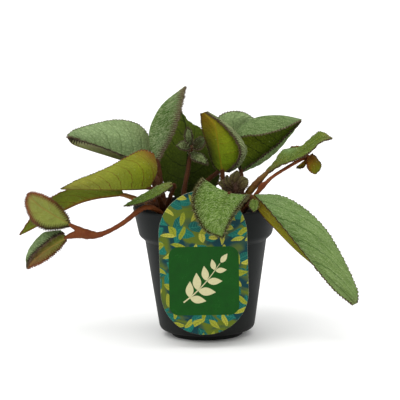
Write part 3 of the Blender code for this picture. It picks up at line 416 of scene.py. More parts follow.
# The two buds of the left crown: a place, then the half width, half depth and half height in mm.
BUDS_LEFT = [((153.2, 205.6, 19.5), (5, 3.6, 4.4)), ((155.3, 181.5, 22.4), (3.4, 3.3, 5.4))]
BUDS_LEFT_STALK = [(158, 208.2, 19, 1.4), (155, 205.6, 19.4, 1.6), (154.6, 199, 20.5, 1.3),
    (155.4, 191, 21.6, 1.3), (155.8, 184, 22, 1.5)]

# The stubs that hold each group together: places with a radius in mm after them.
CLUSTER_CORES = {
    "leaves_middle_small": [[(190.2, 154.6, -3, 1.6), (190.8, 151, -3, 2), (191.6, 147, -3, 2.6),
        (191.8, 144.4, -3, 1.4)]],
    "buds_right": [[(235.6, 199, 14, 2.2), (235.6, 194, 15, 3.8), (235.4, 189, 16, 4.4),
        (234.6, 184, 15, 2.8), (234.6, 180.6, 14, 1.2)], [(234, 193, 16, 2.2), (229, 190.6, 19, 2.6),
        (226, 188.2, 20, 1.4)], [(236, 192, 16, 2.4), (241.6, 188.6, 19, 2.8), (245, 184.6, 20, 1.4)]],
    "leaves_runner_right": [[(304.4, 158.2, 9, 1.6), (307, 157.2, 9, 2.4), (309.6, 157.4, 10.4, 1.5)]],
}

# Stems: places with a radius in mm after them. A group is one body with the crown that it names.
STEMS = {
    "stems_left_crown": ("left", [[(165, 216, 18, 3), (162, 205, 24, 2.4), (157, 194.5, 29, 2),
        (151.6, 188.6, 30, 1.7)], [(164, 216, 18, 3), (161, 207, 14, 2.2), (150, 203.4, 9, 2.1),
        (136, 198.9, 8, 2.2), (125, 195.2, 8, 1.8)], [(166, 216, 17, 3), (164, 202, 15, 2.4),
        (160.6, 186, 15, 2.6), (158.8, 173, 14.5, 2.5), (157.9, 163, 14, 1.8)], [(165, 216, 16, 3),
        (163, 200, 9, 2.2), (158.5, 184, 1, 2), (152.5, 172, -1, 1.9), (148.2, 166.8, 0, 1.6)],
        [(167, 216, 19, 2.4), (168.5, 203, 28, 1.9), (171.5, 193, 37, 1.7), (174.6, 185.2, 41.4, 1.4)],
        [(165, 216, 18, 2.6), (163.4, 214.6, 22, 2.4), (161.6, 213.6, 26, 2.2)], [(165, 216, 18, 2.6),
        (161.5, 211.5, 18.5, 2), (158.8, 208.8, 19, 1.5)]]),
    "stems_middle_crown": ("middle", [[(184, 212, -7, 2.8), (184, 205.4, -10, 2.4),
        (183.5, 198.8, -11.9, 1.7)], [(184, 212, -5, 2.8), (183.4, 200, 2, 2.2), (184.4, 188, 2, 1.9),
        (188, 170, -1, 1.8), (189.6, 159, -3, 1.7), (190.4, 155.9, -3, 1.5)], [(185, 212, -6, 2.8),
        (193, 197, -5, 2.2), (207, 181, -9, 1.9), (218.6, 171.4, -15, 1.8), (223.6, 164, -26, 1.7),
        (220.3, 158.3, -35.9, 1.4)], [(185, 212, -8, 2.8), (190, 203.6, -24, 2.4), (192.5, 193, -36, 2),
        (193, 190.6, -41, 1.6)]]),
    "stems_right_crown": ("right", [[(236, 216, 12, 3.2), (229, 200, 12, 2.6), (223.5, 186, 12.5, 2.2),
        (222.4, 173, 13.6, 1.9)], [(239, 216, 11, 3.2), (241, 200, 5, 2.4), (242, 184, -3, 2),
        (241, 171.6, -8, 1.7)], [(236, 216, 13, 3.2), (233, 205, 26, 2.6), (230.4, 196, 43, 2.2),
        (229.3, 193.5, 59.6, 1.4)], [(240, 216, 13, 3.2), (243.5, 203, 22, 2.6), (249, 197.4, 31, 2.2),
        (251.7, 196.4, 34.4, 1.7)], [(240, 216, 12, 3.4), (246, 197, 17, 2.9), (256, 184, 18, 2.9),
        (266.7, 173, 16.1, 1.8)], [(236, 216, 12, 3.2), (235.6, 207, 12.6, 2.8), (235.6, 199.8, 13.8, 2.2)],
        [(240, 216, 12, 2.6), (246, 207.4, 17, 2), (251.8, 200.2, 19.6, 1.7)], [(240, 216, 13, 2.4),
        (246, 208.5, 28, 1.8), (250.6, 202.4, 43, 1.5), (253.7, 199.8, 50.6, 1.2)]]),
}
RUNNERS = {
    "runner_left": [[(161.35, 213.4, 26.5, 1.9), (157.6, 210.6, 33, 2), (151.5, 207.4, 36.5, 2),
        (144.5, 207.4, 37, 2.1), (137.5, 211.6, 37, 2.1), (128.4, 219, 35, 2), (120, 225, 33, 1.9),
        (109, 231, 31, 1.9), (98, 235, 30, 2.5), (88, 234.4, 30, 4), (79, 232.4, 30, 4.3),
        (74.5, 231.6, 30, 3.4)], [(80, 230.6, 30, 3), (76.5, 228.4, 30.5, 2.4), (72.6, 226.2, 31, 1.8)],
        [(80, 233.6, 30, 3.6), (74, 235, 31, 3), (67.5, 236.9, 31, 1.8)]],
    "runner_right": [[(252.1, 199.8, 19.8, 1.6), (257, 193, 22, 1.7), (262, 187.4, 22, 1.9),
        (271.9, 177.3, 20, 1.4), (287.8, 167.1, 15, 1.4), (297, 161.8, 12, 1.4), (303, 158.9, 9.6, 1.3)],
        [(258.6, 190.6, 22, 1.6), (262, 185, 22.6, 1.8), (265.4, 182.2, 22.6, 0.9)]],
}

# %% [markdown]
# ## A leaf's surface
# A leaf is lofted: smooth curves run along each rail, and other smooth curves run across them from the
# midrib to the margin. Both are Catmull-Rom curves, which pass through every given place. On the real
# leaf the blade puffs up between the side veins, the margin is cut into small round teeth, and the rib
# stands out underneath. Those are added along the surface's normal, in mm.

# %% Curves through places
def through(points, t):
    """A smooth curve through a row of points, read at each t from 0 to 1."""
    points = np.asarray(points, float)
    points = np.concatenate([2 * points[:1] - points[1:2], points, 2 * points[-1:] - points[-2:-1]])
    spans = len(points) - 3
    s = np.clip(np.atleast_1d(t) * spans, 0, spans - 1e-9)
    i = s.astype(int)
    f = (s - i).reshape((-1,) + (1,) * (points.ndim - 1))
    a, b, c, d = points[i], points[i + 1], points[i + 2], points[i + 3]
    return 0.5 * (2 * b + (c - a) * f + (2 * a - 5 * b + 4 * c - d) * f**2 + (3 * b - a - 3 * c + d) * f**3)


def unit(vectors):
    return vectors / np.maximum(np.linalg.norm(vectors, axis=-1, keepdims=True), 1e-9)


def lengths(points):
    """How long each step of a row of points is."""
    return np.linalg.norm(np.diff(points, axis=0), axis=-1)


def from_start(points):
    """How far each point lies from the first one, along the row."""
    return np.concatenate([np.zeros((1,) + points.shape[1:-1]), lengths(points).cumsum(axis=0)])


def rails(rib, given, turn, bulge):
    """The rails of one half, midrib first, as an array of (station, rail, xyz)."""
    rows = [rib] + [seen(rail) for rail in given]
    if len(rows) == 2:
        along = np.gradient(rib, axis=0)
        along /= np.linalg.norm(along, axis=1, keepdims=True)
        up = turn * np.cross(along, rows[1] - rows[0])
        rows.insert(1, (rows[0] + rows[1]) / 2 + bulge * up)
    return np.stack(rows, axis=1)


def half_surface(given, side, us, vs):
    """Points, upper normals and mm across from the midrib of one half, as arrays of (row, station)."""
    name, turn = ("left", 1.0) if side < 0 else ("right", -1.0)
    grid = rails(seen(given["rib"]), given[name], turn, given.get("bulge", 0.1))
    points = through(through(grid, us).swapaxes(0, 1), vs)
    normals = unit(side * np.cross(np.gradient(points, axis=0), np.gradient(points, axis=1)))
    return points, normals, from_start(points)

# %% [markdown]
# ## The leaf mesh
# Upper and lower skins share their edge rows, where the thickness runs out to nothing in a quarter
# circle, so each leaf is one closed skin. Points carry what the finish needs: where they lie between
# the side veins, how far they are from the margin, and the washes of colour that each leaf is given.

# %% Leaf mesh
THICKNESS, RIB_HEIGHT, RIB_WIDTH = 0.7, 0.75, 0.8
# Teeth stand WIDER times their given gap apart, and each gets about so many places along the leaf.
TOOTH_GAP, TOOTH_DEPTH, WIDER, PLACES_PER_TOOTH, RUFFLE = 1.4, 0.3, 1.15, 4, 0.3
LEAF_ROWS, SMALL_LEAF_ROWS = 18, 9
UV_MM = 100.0  # how many mm of the leaf one unit of its UV map covers


def half_rows(fine):
    """Shares of the way from midrib to margin, closer together towards both."""
    t = np.linspace(0, 1, fine + 1)
    return 0.45 * t + 0.275 * (1 - np.cos(t * math.pi))


def stations(given, fewest=40, most=260):
    """How many places along a leaf its longest margin needs for its teeth."""
    longest = max(lengths(seen(given[side][0])).sum() for side in ("left", "right"))
    return int(np.clip(longest / given.get("teeth", TOOTH_GAP) / WIDER * PLACES_PER_TOOTH, fewest, most))


def smooth(low, high, x):
    t = np.clip((np.asarray(x, float) - low) / (high - low), 0, 1)
    return t * t * (3 - 2 * t)


def leaf_shape(given, look, long, fine):
    """A dict of arrays that describe the leaf's skin, each of (row, station), left margin to right."""
    us, vs = np.linspace(0, 1, long), half_rows(fine)
    left, right = (half_surface(given, side, us, vs) for side in (-1, 1))
    points, normals = (np.concatenate([left[k][::-1], right[k][1:]]) for k in (0, 1))
    normals[fine] = unit(left[1][0] + right[1][0])
    across = np.concatenate([-left[2][::-1], right[2][1:]])
    edge = np.where(across < 0, left[2][-1], right[2][-1]) - np.abs(across)
    v = np.concatenate([-vs[::-1], vs[1:]])[:, None] * np.ones(long)
    length = lengths(points[fine]).sum()
    run = np.where(v < 0, from_start(points[0]), from_start(points[-1]))
    outward = unit(np.gradient(points, axis=0)) * np.where(v < 0, -1.0, 1.0)[..., None]
    tipward = unit(np.gradient(points, axis=1)) * (0.25 + 1.5 * smooth(0.85, 1.0, us))[:, None]
    arch = look["reach"] * np.abs(v) ** look["arch"]
    vein = (us - arch) * look["veins"] + np.where(v < 0, 0.0, 0.45)
    tooth = np.abs(np.sin(math.pi * run / given.get("teeth", TOOTH_GAP) / WIDER))
    return dict(points=points, normals=normals, across=across, edge=edge, v=v, u=us * np.ones_like(v),
                along=us * length * np.ones_like(v), run=run, vein=vein, tooth=tooth,
                outward=unit(outward), hairward=unit(outward + tipward))


def toothed(shape, given, look):
    """Puffs the blade between its veins, ruffles it near the margin and cuts the margin's teeth."""
    u, v, edge, across = (shape[key] for key in ("u", "v", "edge", "across"))
    ends = smooth(0.0, 0.12, u) * smooth(1.0, 0.9, u)
    puff = np.abs(np.sin(math.pi * shape["vein"])) ** 0.6
    block = np.abs(np.sin(math.pi * across / 4.5 + 2.1 * np.floor(shape["vein"]))) ** 0.7
    lift = look["puff"] * (puff * (0.7 + 0.3 * block) - 0.6) * ends * smooth(0.5, 3.0, np.abs(across))
    lift *= smooth(0.3, 4.0, edge)
    lift += RUFFLE * np.sin(shape["run"] * 0.9 + 2 * v) * np.exp(-edge / 2.2) * ends
    points = shape["points"] + shape["normals"] * lift[..., None]
    notch = look["cut"] * given.get("depth", TOOTH_DEPTH) * (1 - shape["tooth"]) ** 0.75 * ends
    return points - shape["outward"] * (notch * smooth(2.4, 0.0, edge))[..., None]


def leaf_mesh(name, given, look, long, fine):
    """A closed leaf with its colours, vein places and hair densities on its points."""
    shape = leaf_shape(given, look, long, fine)
    middle = toothed(shape, given, look)
    u, v, edge, across = (shape[key] for key in ("u", "v", "edge", "across"))
    half = THICKNESS / 2 * np.sqrt(1 - np.clip(1 - edge / 0.5, 0, 1) ** 2)
    rib = RIB_HEIGHT * np.exp(-((across / RIB_WIDTH) ** 2)) * (1 - 0.75 * u) * smooth(1.0, 0.93, u)
    rib *= smooth(0.0, 2.0, edge)
    turned = look["turned"]
    upper = middle + shape["normals"] * (half + turned * rib)[..., None]
    lower = middle - shape["normals"] * (half + (1 - turned) * rib)[..., None]
    rows, columns = v.shape
    inner = lower[1:-1]
    points = np.concatenate([upper.reshape(-1, 3), inner.reshape(-1, 3)])
    top = np.arange(rows * columns).reshape(rows, columns)
    below = rows * columns + np.arange(inner.size // 3).reshape(-1, columns)
    under = np.concatenate([top[:1], below, top[-1:]])
    faces, slots = [], []
    for grid, flip, slot in ((top, 1, turned), (under, -1, 1 - turned)):
        corners = np.stack([grid[:-1, :-1], grid[1:, :-1], grid[1:, 1:], grid[:-1, 1:]], -1).reshape(-1, 4)
        faces += corners[:, ::flip].tolist()
        slots += [slot] * len(corners)
    for end, flip in ((0, 1), (columns - 1, -1)):
        for i in range(rows - 1):
            ring = [top[i, end], under[i, end], under[i + 1, end], top[i + 1, end]]
            faces.append([p for k, p in enumerate(ring) if p != ring[k - 1]][::flip])
            slots.append(1 - turned)
    mesh = bpy.data.meshes.new(name)
    mesh.from_pydata((points * MM).tolist(), [], faces)
    mesh.polygons.foreach_set("material_index", slots)
    mesh.shade_smooth()

    def on_points(values):
        return np.concatenate([part.reshape(-1, *values.shape[2:]) for part in (values, values[1:-1])])

    u, v, edge, across = (on_points(values) for values in (u, v, edge, across))
    is_upper = np.concatenate([np.full(rows * columns, 1 - turned), np.full(inner.size // 3, turned)])
    rim, fringe, tuft = (np.where(v < 0, *look[key]) for key in ("rim", "fringe", "tuft"))
    near_rim = np.exp(-((edge / 0.7) ** 2))
    patch = 0.75 + 0.25 * np.sin(across * 1.7) * np.sin(on_points(shape["along"]) * 1.3)
    put(mesh, "blade", np.stack([on_points(shape["vein"]), v, edge / rim], -1))
    put(mesh, "tooth", on_points(shape["tooth"]))
    put(mesh, "wash", washes(u, v, is_upper, look))
    put(mesh, "margin", margins(u, v, look))
    put(mesh, "face_hairs", np.where(is_upper > 0, *look["hairs"]) * patch * (1 - near_rim))
    put(mesh, "rim_hairs", fringe * near_rim)
    put(mesh, "rim_size", tuft)
    put(mesh, "hairward", on_points(shape["hairward"]))
    layer = mesh.uv_layers.new(name="leaf")
    flat = np.stack([on_points(shape["along"]) / UV_MM, across / UV_MM + 0.5], -1)
    corners = np.empty(len(mesh.loops), np.int32)
    mesh.loops.foreach_get("vertex_index", corners)
    layer.data.foreach_set("uv", flat[corners].ravel())
    return mesh


def put(mesh, name, values):
    """Stores one number, vector or colour for each point of the mesh."""
    wide = 1 if np.ndim(values) == 1 else values.shape[1]
    kind, key = {1: ("FLOAT", "value"), 3: ("FLOAT_VECTOR", "vector"), 4: ("FLOAT_COLOR", "color")}[wide]
    made = mesh.attributes.new(name, kind, "POINT")
    made.data.foreach_set(key, np.ascontiguousarray(values, np.float32).ravel())


def washes(u, v, is_upper, look):
    """Each point's colour: from base to tip on each side, with soft strokes of other colours over it."""
    colour = np.zeros((len(u), 4))
    for side, (base, tip) in ((1, look["upper"]), (0, look["under"])):
        here = is_upper == side
        share = smooth(0.05, 0.95, u[here])[:, None]
        colour[here] = np.array(linear(base)) * (1 - share) + np.array(linear(tip)) * share
    for side, at_u, at_v, wide_u, wide_v, code, strength in look.get("strokes", ()):
        here = strength * np.exp(-(((u - at_u) / wide_u) ** 2) - ((v - at_v) / wide_v) ** 2)
        here = (here * (is_upper == side))[:, None]
        colour = colour * (1 - here) + np.array(linear(code)) * here
    return colour


def margins(u, v, look):
    """Each point's colour for the band along the margin: left and right, each from base to tip."""
    base, tip = [np.where((v < 0)[:, None], np.array(linear(left)), np.array(linear(right)))
                 for left, right in look["bands"]]
    share = smooth(0.35, 0.75, u)[:, None]
    return base * (1 - share) + tip * share

# %% [markdown]
# ## The skin of a hairy leaf
# An Episcia leaf is soft and matt. Its upper side is puckered between the side veins and carries a
# silvery down, with green left in the furrows. Underneath the veins show through in rust red. The
# colour starts from the washes; streaks follow the veins, then come tufts of down, furrows, veins and
# a ragged brown margin that is darkest between the teeth. A little of the light passes through the
# blade, so a translucent shader is mixed in. The down's streaks are really 0.1 mm wide; they are drawn
# about 0.8 mm wide here, or they would not show.

# %% Leaf finishes
def leaf_finish(name, vein, vein_share, furrow, furrow_share, down, down_share, vein_mm=0.5,
                streak_share=0.55):
    """One side of a leaf: the colours of its veins, furrows and down, each with how strongly it shows."""
    made = Nodes(name)
    maths, plus, minus, times, size = made.maths, made.plus, made.minus, made.times, made.size
    place = made.add("ShaderNodeUVMap", uv_map="leaf")
    mm = made.vectors("SCALE", place, UV_MM)

    def stored(attribute, output="Color"):
        return made.add("ShaderNodeAttribute", attribute_name=attribute).outputs[output]

    def line_at(position, half_width, soft):
        """1 where the position is a whole number, fading out past half the width."""
        away = minus(0.5, size(minus(maths("FRACT", position), 0.5)))
        return maths("DIVIDE", minus(half_width, away), soft, clamp=True)

    blade = made.parts(stored("blade", "Vector"))
    across = times(minus(made.parts(place)[1], 0.5), UV_MM)
    wobble = minus(made.noise(mm, 0.3), 0.5)
    step = plus(blade[0], times(wobble, 0.3))
    width = vein_mm / 12.0
    veins = times(line_at(step, width, width * 0.8), minus(1.5, size(blade[1])), clamp=True)
    small = times(line_at(times(step, 3.0), width * 2.0, width * 2.0), 0.35)
    rib = times(minus(0.75, size(across)), 1.8, clamp=True)
    veins = maths("MAXIMUM", maths("MAXIMUM", veins, small), rib)
    flow = made.add("ShaderNodeCombineXYZ", {0: times(step, 11.0), 1: times(across, 0.35)})
    streaks = made.noise(flow, 1.0, 3.0, 0.6)
    cells = made.add("ShaderNodeTexVoronoi", {"Vector": made.bent(mm, 0.5, 2.0, 2.5), "Scale": 1.0 / 2.4},
                     feature="DISTANCE_TO_EDGE")
    furrows = minus(1.0, times(cells, 3.2), clamp=True)
    fuzz = made.noise(mm, 1.3, 4.0, 0.7)
    both = plus(times(fuzz, 1 - streak_share), times(streaks, streak_share))
    tufts = times(minus(both, 0.46), 9.0, clamp=True)
    cloud = made.noise(mm, 0.11, 3.0)
    shade = times(plus(0.7, times(cloud, 0.6)), plus(0.8, times(streaks, 0.4)))

    wash = stored("wash")
    colour = made.mixed(1.0, wash, shade, "MULTIPLY")
    pale = made.add("ShaderNodeRGBToBW", {0: wash})
    cover = times(times(pale, 9.0, clamp=True), down_share)
    for share, code in ((times(tufts, cover), down), (times(furrows, furrow_share), furrow),
                        (times(veins, vein_share), vein)):
        colour = made.mixed(share, colour, code)
    ragged = plus(blade[2], times(minus(fuzz, 0.5), 1.8))
    tooth = stored("tooth", "Fac")
    band = times(minus(1.6, plus(ragged, times(tooth, 0.8))), 2.0, clamp=True)
    colour = made.mixed(band, colour, stored("margin"))
    dots = times(minus(0.6, tooth), 3.0, clamp=True)
    dots = times(dots, times(minus(1.2, ragged), 2.0, clamp=True))
    colour = made.mixed(times(dots, 0.75), colour, "#1c120a")

    height = minus(times(both, 0.8), plus(times(furrows, 0.5), times(veins, 0.6)))
    return made.finished(colour, plus(0.55, times(fuzz, 0.3)), 0.1, height, 0.0006, 0.9, glow=0.15)


# Each row: its name here, the material's name, then a colour and a strength for the veins, the furrows
# and the down; some go on with the veins' width in mm and the streaks' share of the down.
FINISHES = {key: leaf_finish(*row) for key, *row in (
    ("silvery", "silvery downy leaf, upper side", "#46602a", 0.4, "#4f6b32", 0.4, "#a6b880", 0.5),
    ("striped", "silvery downy leaf with long green veins", "#3c5a22", 0.6, "#4a6a2c", 0.4, "#a4b583", 0.45,
     0.9),
    ("frosted", "young leaf under thick down", "#3c5a1e", 0.35, "#3c5814", 0.15, "#a8b67e", 0.8, 0.5, 0.8),
    ("soft", "young leaf under soft down", "#3c5a1e", 0.35, "#46661c", 0.15, "#98ae68", 0.6, 0.5, 0.85),
    ("mottled", "silver mottled leaf, upper side", "#33540f", 0.35, "#33540f", 0.35, "#a8b486", 0.75, 0.5,
     0.65),
    ("meadow", "green downy leaf, upper side", "#34501a", 0.5, "#3c5a1e", 0.5, "#8a9c5c", 0.3),
    ("lime", "leaf underside with rust veins", "#6e3a10", 0.8, "#5f6a16", 0.25, "#8a9040", 0.2),
    ("pale", "pale leaf underside with faint veins", "#8a6a34", 0.5, "#6f7a34", 0.2, "#9aa060", 0.3, 0.35),
    ("moss", "glossier green underside with olive veins", "#7a5a10", 0.45, "#4a520a", 0.3, "#80901e", 0.2,
     0.35),
    # The shade finish is a leaf underside darkened with painted shade, for undersides that hang in the
    # plant's shadow.
    ("shade", "dark leaf underside", "#161f04", 0.75, "#1c2804", 0.4, "#46561a", 0.15),
    ("plum", "plum coloured young leaf", "#1e100c", 0.6, "#2a1a12", 0.5, "#86806a", 0.4),
)}
print("leaf finishes:", sorted(FINISHES))

# %% [markdown]
# ## How each leaf looks
# The leaves differ: some show their silvery upper side, some a lime underside with rust veins, some
# stand in shade. Each leaf gets two finishes, washes from base to tip for both sides, the width of its
# brown margin, its number of side veins, and strokes of colour where the photograph shows them.

# %% Looks
BROWN, RUST, DARK, LILAC = "#4a3522", "#7c3e26", "#2e2312", "#6a5c48"
# finish, upper and under: the upper side, then the underside, each from base to tip. rim: mm of brown
# margin left and right; bands: its colours left and right at the base, then at the tip; fringe: how
# thick its hairs stand left and right; tuft: how long they are, as a share; hairs: how thick the two
# sides' hairs stand. A stroke is a side (1 is the upper), where along and across the leaf, how wide
# each way, its colour and its strength.
USUAL = dict(
    finish=("silvery", "lime"), upper=("#6c8350", "#748a58"), under=("#66701c", "#6e7826"), rim=(1.2, 1.2),
    bands=((BROWN, BROWN), (BROWN, BROWN)), fringe=(3, 3), tuft=(0.8, 0.8), fringe_colour="brown",
    down="silver", hairs=(1, 0.15), veins=7, reach=0.30, arch=1.5, puff=0.5, cut=2.4, turned=0)
LOOKS = {
    "leaf_left_top": dict(
        veins=8, upper=("#849a68", "#8ca072"), rim=(8, 1.2), fringe=(9, 2), tuft=(1.8, 0.6),
        bands=((DARK, BROWN), (DARK, BROWN)), puff=0.35, under=("#626c30", "#7a8450"),
        strokes=[(0, 0.75, -0.7, 0.35, 0.5, "#aaa482", 0.9), (0, 0.2, -0.7, 0.28, 0.5, "#5e4826", 0.9),
                 (1, 0.1, 0.9, 0.25, 0.25, "#7a6a48", 0.5), (1, 1, 0, 0.05, 1, "#9a9a7a", 0.6)]),
    "leaf_left_middle": dict(
        under=("#7c8a20", "#8c8a38"), veins=9, arch=2.4, puff=0.3, bands=((RUST, "#70401c"), (DARK, BROWN)),
        strokes=[(0, 0.02, -1, 0.2, 0.36, "#8a4424", 0.95), (0, 0, -0.5, 0.1, 0.6, "#5e3416", 0.9),
                 (0, 0.12, -0.35, 0.14, 0.35, "#7a860a", 0.7), (0, 1, -0.5, 0.1, 0.9, "#80683f", 0.7)]),
    "leaf_left_low": dict(
        under=("#5e7010", "#788224"), veins=8, arch=1.2, bands=((BROWN, BROWN), (RUST, BROWN)),
        strokes=[(0, 0.03, -0.5, 0.07, 0.8, "#48500e", 0.8), (0, 0.4, 0, 0.6, 0.1, "#8a4820", 0.8)]),
    "leaf_runner_left_upper": dict(
        finish=("silvery", "pale"), under=("#7e8838", "#84863e"), rim=(5, 5.2), veins=5, fringe=(2, 6),
        cut=3, bands=(("#4e3412", DARK), ("#85482e", "#8a5438")), tuft=(1, 1.2),
        strokes=[(0, 1, 0, 0.14, 0.9, "#9a5e44", 0.75), (0, 0.5, -1, 0.5, 0.24, "#8e5c3a", 0.75)]),
    "leaf_runner_left_lower": dict(
        finish=("silvery", "pale"), upper=("#566a44", "#6e8058"), under=("#6e6e1e", "#84643a"),
        rim=(4.4, 4.4), veins=5, cut=3, fringe=(9, 2.5), bands=((DARK, "#5a2e18"), (DARK, "#84482e")),
        tuft=(1.5, 1), strokes=[(0, 0.9, 0, 0.22, 0.8, "#7e4632", 0.7)]),
    "leaf_small_left": dict(
        finish=("meadow", "lime"), upper=("#566a1c", "#3c4c10"), under=("#4a4a14", "#4a4a14"), veins=5,
        rim=(1.8, 1.2), bands=((DARK, BROWN), (DARK, BROWN)), fringe=(6, 3),
        strokes=[(1, 0, 0, 0.2, 0.9, "#8a7a4a", 0.7)]),
    "leaf_top": dict(
        finish=("mottled", "lime"), upper=("#476224", "#56722c"), hairs=(2, 0.3), rim=(0.8, 6.5),
        fringe=(3, 9), tuft=(0.8, 1.4), bands=((BROWN, LILAC), (BROWN, "#75694f")),
        strokes=[(1, 0.66, 0.35, 0.2, 0.25, "#2c5204", 0.9), (1, 0.3, 0.5, 0.2, 0.5, "#6c845c", 0.5),
                 (1, 0.9, 0.4, 0.15, 0.6, "#74905e", 0.6)]),
    # The back upright leaf shows its underside, painted in shade: dark washes, the shade finish and a darker
    # stroke at its base.
    "leaf_back_upright": dict(
        finish=("meadow", "shade"), under=("#283402", "#5a6c18"), hairs=(0.8, 0), rim=(0.8, 0.8),
        strokes=[(0, 0, 0, 0.1, 1, "#1c1c04", 0.6)]),
    "leaf_cupped": dict(
        finish=("frosted", "moss"), upper=("#3e3c22", "#6e7454"), under=("#5a7806", "#80760c"),
        rim=(3.4, 1.8), bands=((DARK, "#1c1606"), ("#4e4a2a", "#4a330a")), veins=6, fringe=(9, 3),
        tuft=(1.4, 0.8), hairs=(3, 0.03), reach=0.4,
        # The near-black stroke in #0d0c02 is painted shade on the underside of the cup's far side.
        strokes=[(0, 0.95, 0.6, 0.2, 0.7, "#7a4e08", 0.9), (0, 0.42, 1, 0.45, 0.7, "#0d0c02", 1),
                 (0, 0.5, -0.35, 0.25, 0.35, "#6e840f", 0.8), (0, 0, 0, 0.1, 0.6, "#5a3a10", 0.8)]),
    # The roof leaf's underside is painted in shade with its dark washes and the shade finish. The stroke in
    # #768610 is painted light where light passes under the near half.
    "leaf_right_roof": dict(
        finish=("silvery", "shade"), upper=("#4c6230", "#566c3c"), under=("#2e420a", "#4c600c"),
        rim=(1.6, 1.4), veins=8, fringe=(6, 6), tuft=(1, 0.8), bands=((DARK, "#33300f"), (DARK, LILAC)),
        hairs=(1, 0.03),
        strokes=[(0, 0.5, 0, 0.4, 0.12, "#6e6c10", 0.9), (0, 0.42, -0.1, 0.28, 0.28, "#768610", 0.8),
                 (1, 0.95, 0.2, 0.08, 0.6, "#7a8c62", 0.6)]),
    "leaf_back_pale": dict(upper=("#96ac70", "#9ab07a"), veins=6),
    "leaf_front": dict(
        turned=1, upper=("#46661a", "#526c28"), veins=5, hairs=(2.2, 1), rim=(3.6, 4.2), fringe=(7, 7),
        fringe_colour="olive", tuft=(1.6, 1.6), finish=("soft", "lime"), puff=0.6,
        bands=(("#322a10", DARK), ("#32300f", DARK)),
        # The stroke in #44520e is painted shade in the crease along the midrib near the base.
        strokes=[(1, 0.1, 0, 0.3, 0.12, "#44520e", 0.7), (1, 0.6, 0.9, 0.3, 0.25, "#4a4a20", 0.8),
                 (1, 0.5, -1, 0.6, 0.3, "#34380f", 0.9)]),
    "leaf_right_drooping": dict(
        finish=("striped", "lime"), upper=("#688248", "#6e8446"), under=("#867818", "#6c7818"), veins=5,
        reach=0.6, arch=1.4, rim=(1.2, 1.6), hairs=(0.8, 0.3), tuft=(0.8, 0.9),
        strokes=[(0, 0.05, 0.8, 0.12, 0.5, "#8a5a12", 0.8), (1, 1, 0, 0.06, 0.8, "#7c6a4c", 0.6),
                 (1, 0.42, -0.25, 0.08, 0.2, "#4e6a2c", 0.5), (1, 0.55, -0.5, 0.06, 0.2, "#4e6a2c", 0.4)]),
    "leaf_right_narrow": dict(
        finish=("meadow", "lime"), upper=("#5a6818", "#66721c"), under=("#5a5a1a", "#6a4a20"), veins=6,
        rim=(1, 2.4),
        strokes=[(1, 0.38, -0.8, 0.08, 0.5, "#7f9c66", 0.8), (1, 1, 0, 0.12, 1, "#98785a", 0.8),
                 (1, 0.05, 0, 0.16, 0.8, "#644422", 0.85)]),
    "leaf_small_right": dict(finish=("meadow", "lime"), upper=("#68782c", "#6c7f3a"), veins=3, puff=0.1),
    "leaves_middle_small": dict(
        finish=("frosted", "plum"), upper=("#2a2e12", "#5c6a3c"), under=("#2e2214", "#453826"), veins=4,
        puff=0.12, hairs=(1.4, 1), fringe=(7, 7), rim=(1.6, 1.6),
        bands=(("#241810", "#241810"), ("#2e2618", "#2e2618")),
        strokes=[(1, 0, 0, 0.42, 1, "#200e08", 0.97)]),
    "buds_right": dict(
        finish=("plum", "plum"), upper=("#3e2c14", "#585626"), under=("#442614", "#504822"), veins=4,
        puff=0.12, hairs=(1.2, 1), fringe=(5, 5), rim=(1, 1), down="brown",
        bands=(("#24160c", "#24160c"), ("#3a261a", "#3a261a"))),
    "leaves_runner_right": dict(
        finish=("moss", "moss"), upper=("#6a4406", "#5e6600"), under=("#7a4a20", "#7e6a34"), veins=4,
        puff=0.12, rim=(2.2, 1.6), bands=(("#2e2208", "#7a3410"), ("#3a2208", "#7e3e16")), hairs=(0.12, 0.12),
        strokes=[(1, 0.1, 0, 0.3, 1.2, "#6e2c0c", 0.8), (1, 0.35, 0.85, 0.4, 0.45, "#8a4a14", 0.9)]),
}
# The middle crown's four leaves differ: pale, dark at the left, dark at the right, and pale again with a
# dark lower margin.
LEAF_BY_LEAF = {"leaves_middle_small": [
    {},
    dict(hairs=(0.6, 0.6),
         strokes=[(1, 0.3, 0, 0.5, 1.2, "#26240a", 0.95), (1, 0, 0, 0.5, 1.2, "#200e08", 1)]),
    dict(hairs=(0.2, 0.5),
         strokes=[(1, 0.4, 0, 0.8, 1.6, "#1c200a", 1), (1, 0, 0, 0.6, 1.2, "#260c06", 1)]),
    dict(strokes=[(1, 0, 0, 0.3, 1, "#200e08", 0.9), (1, 0.6, 1, 0.6, 0.45, "#2a2428", 0.9)]),
]}


def look_of(name):
    return {**USUAL, **LOOKS.get(name, {})}

# %% [markdown]
# ## Hairs
# The down of an Episcia is what makes its leaves glow at the edge. Geometry Nodes scatter the hairs:
# one branch over the faces and a denser one along the margins, each hair a thin three sided cone that
# leans a little. The points carry the densities, so the tree only multiplies them by hairs per cm2.
# A real hair is about 0.05 mm thick; these are four times as thick and fewer, so that they show.

# %% Hair tree
FACE_HAIRS, RIM_HAIRS, CM2_IN_M2 = 40.0, 60.0, 10000.0


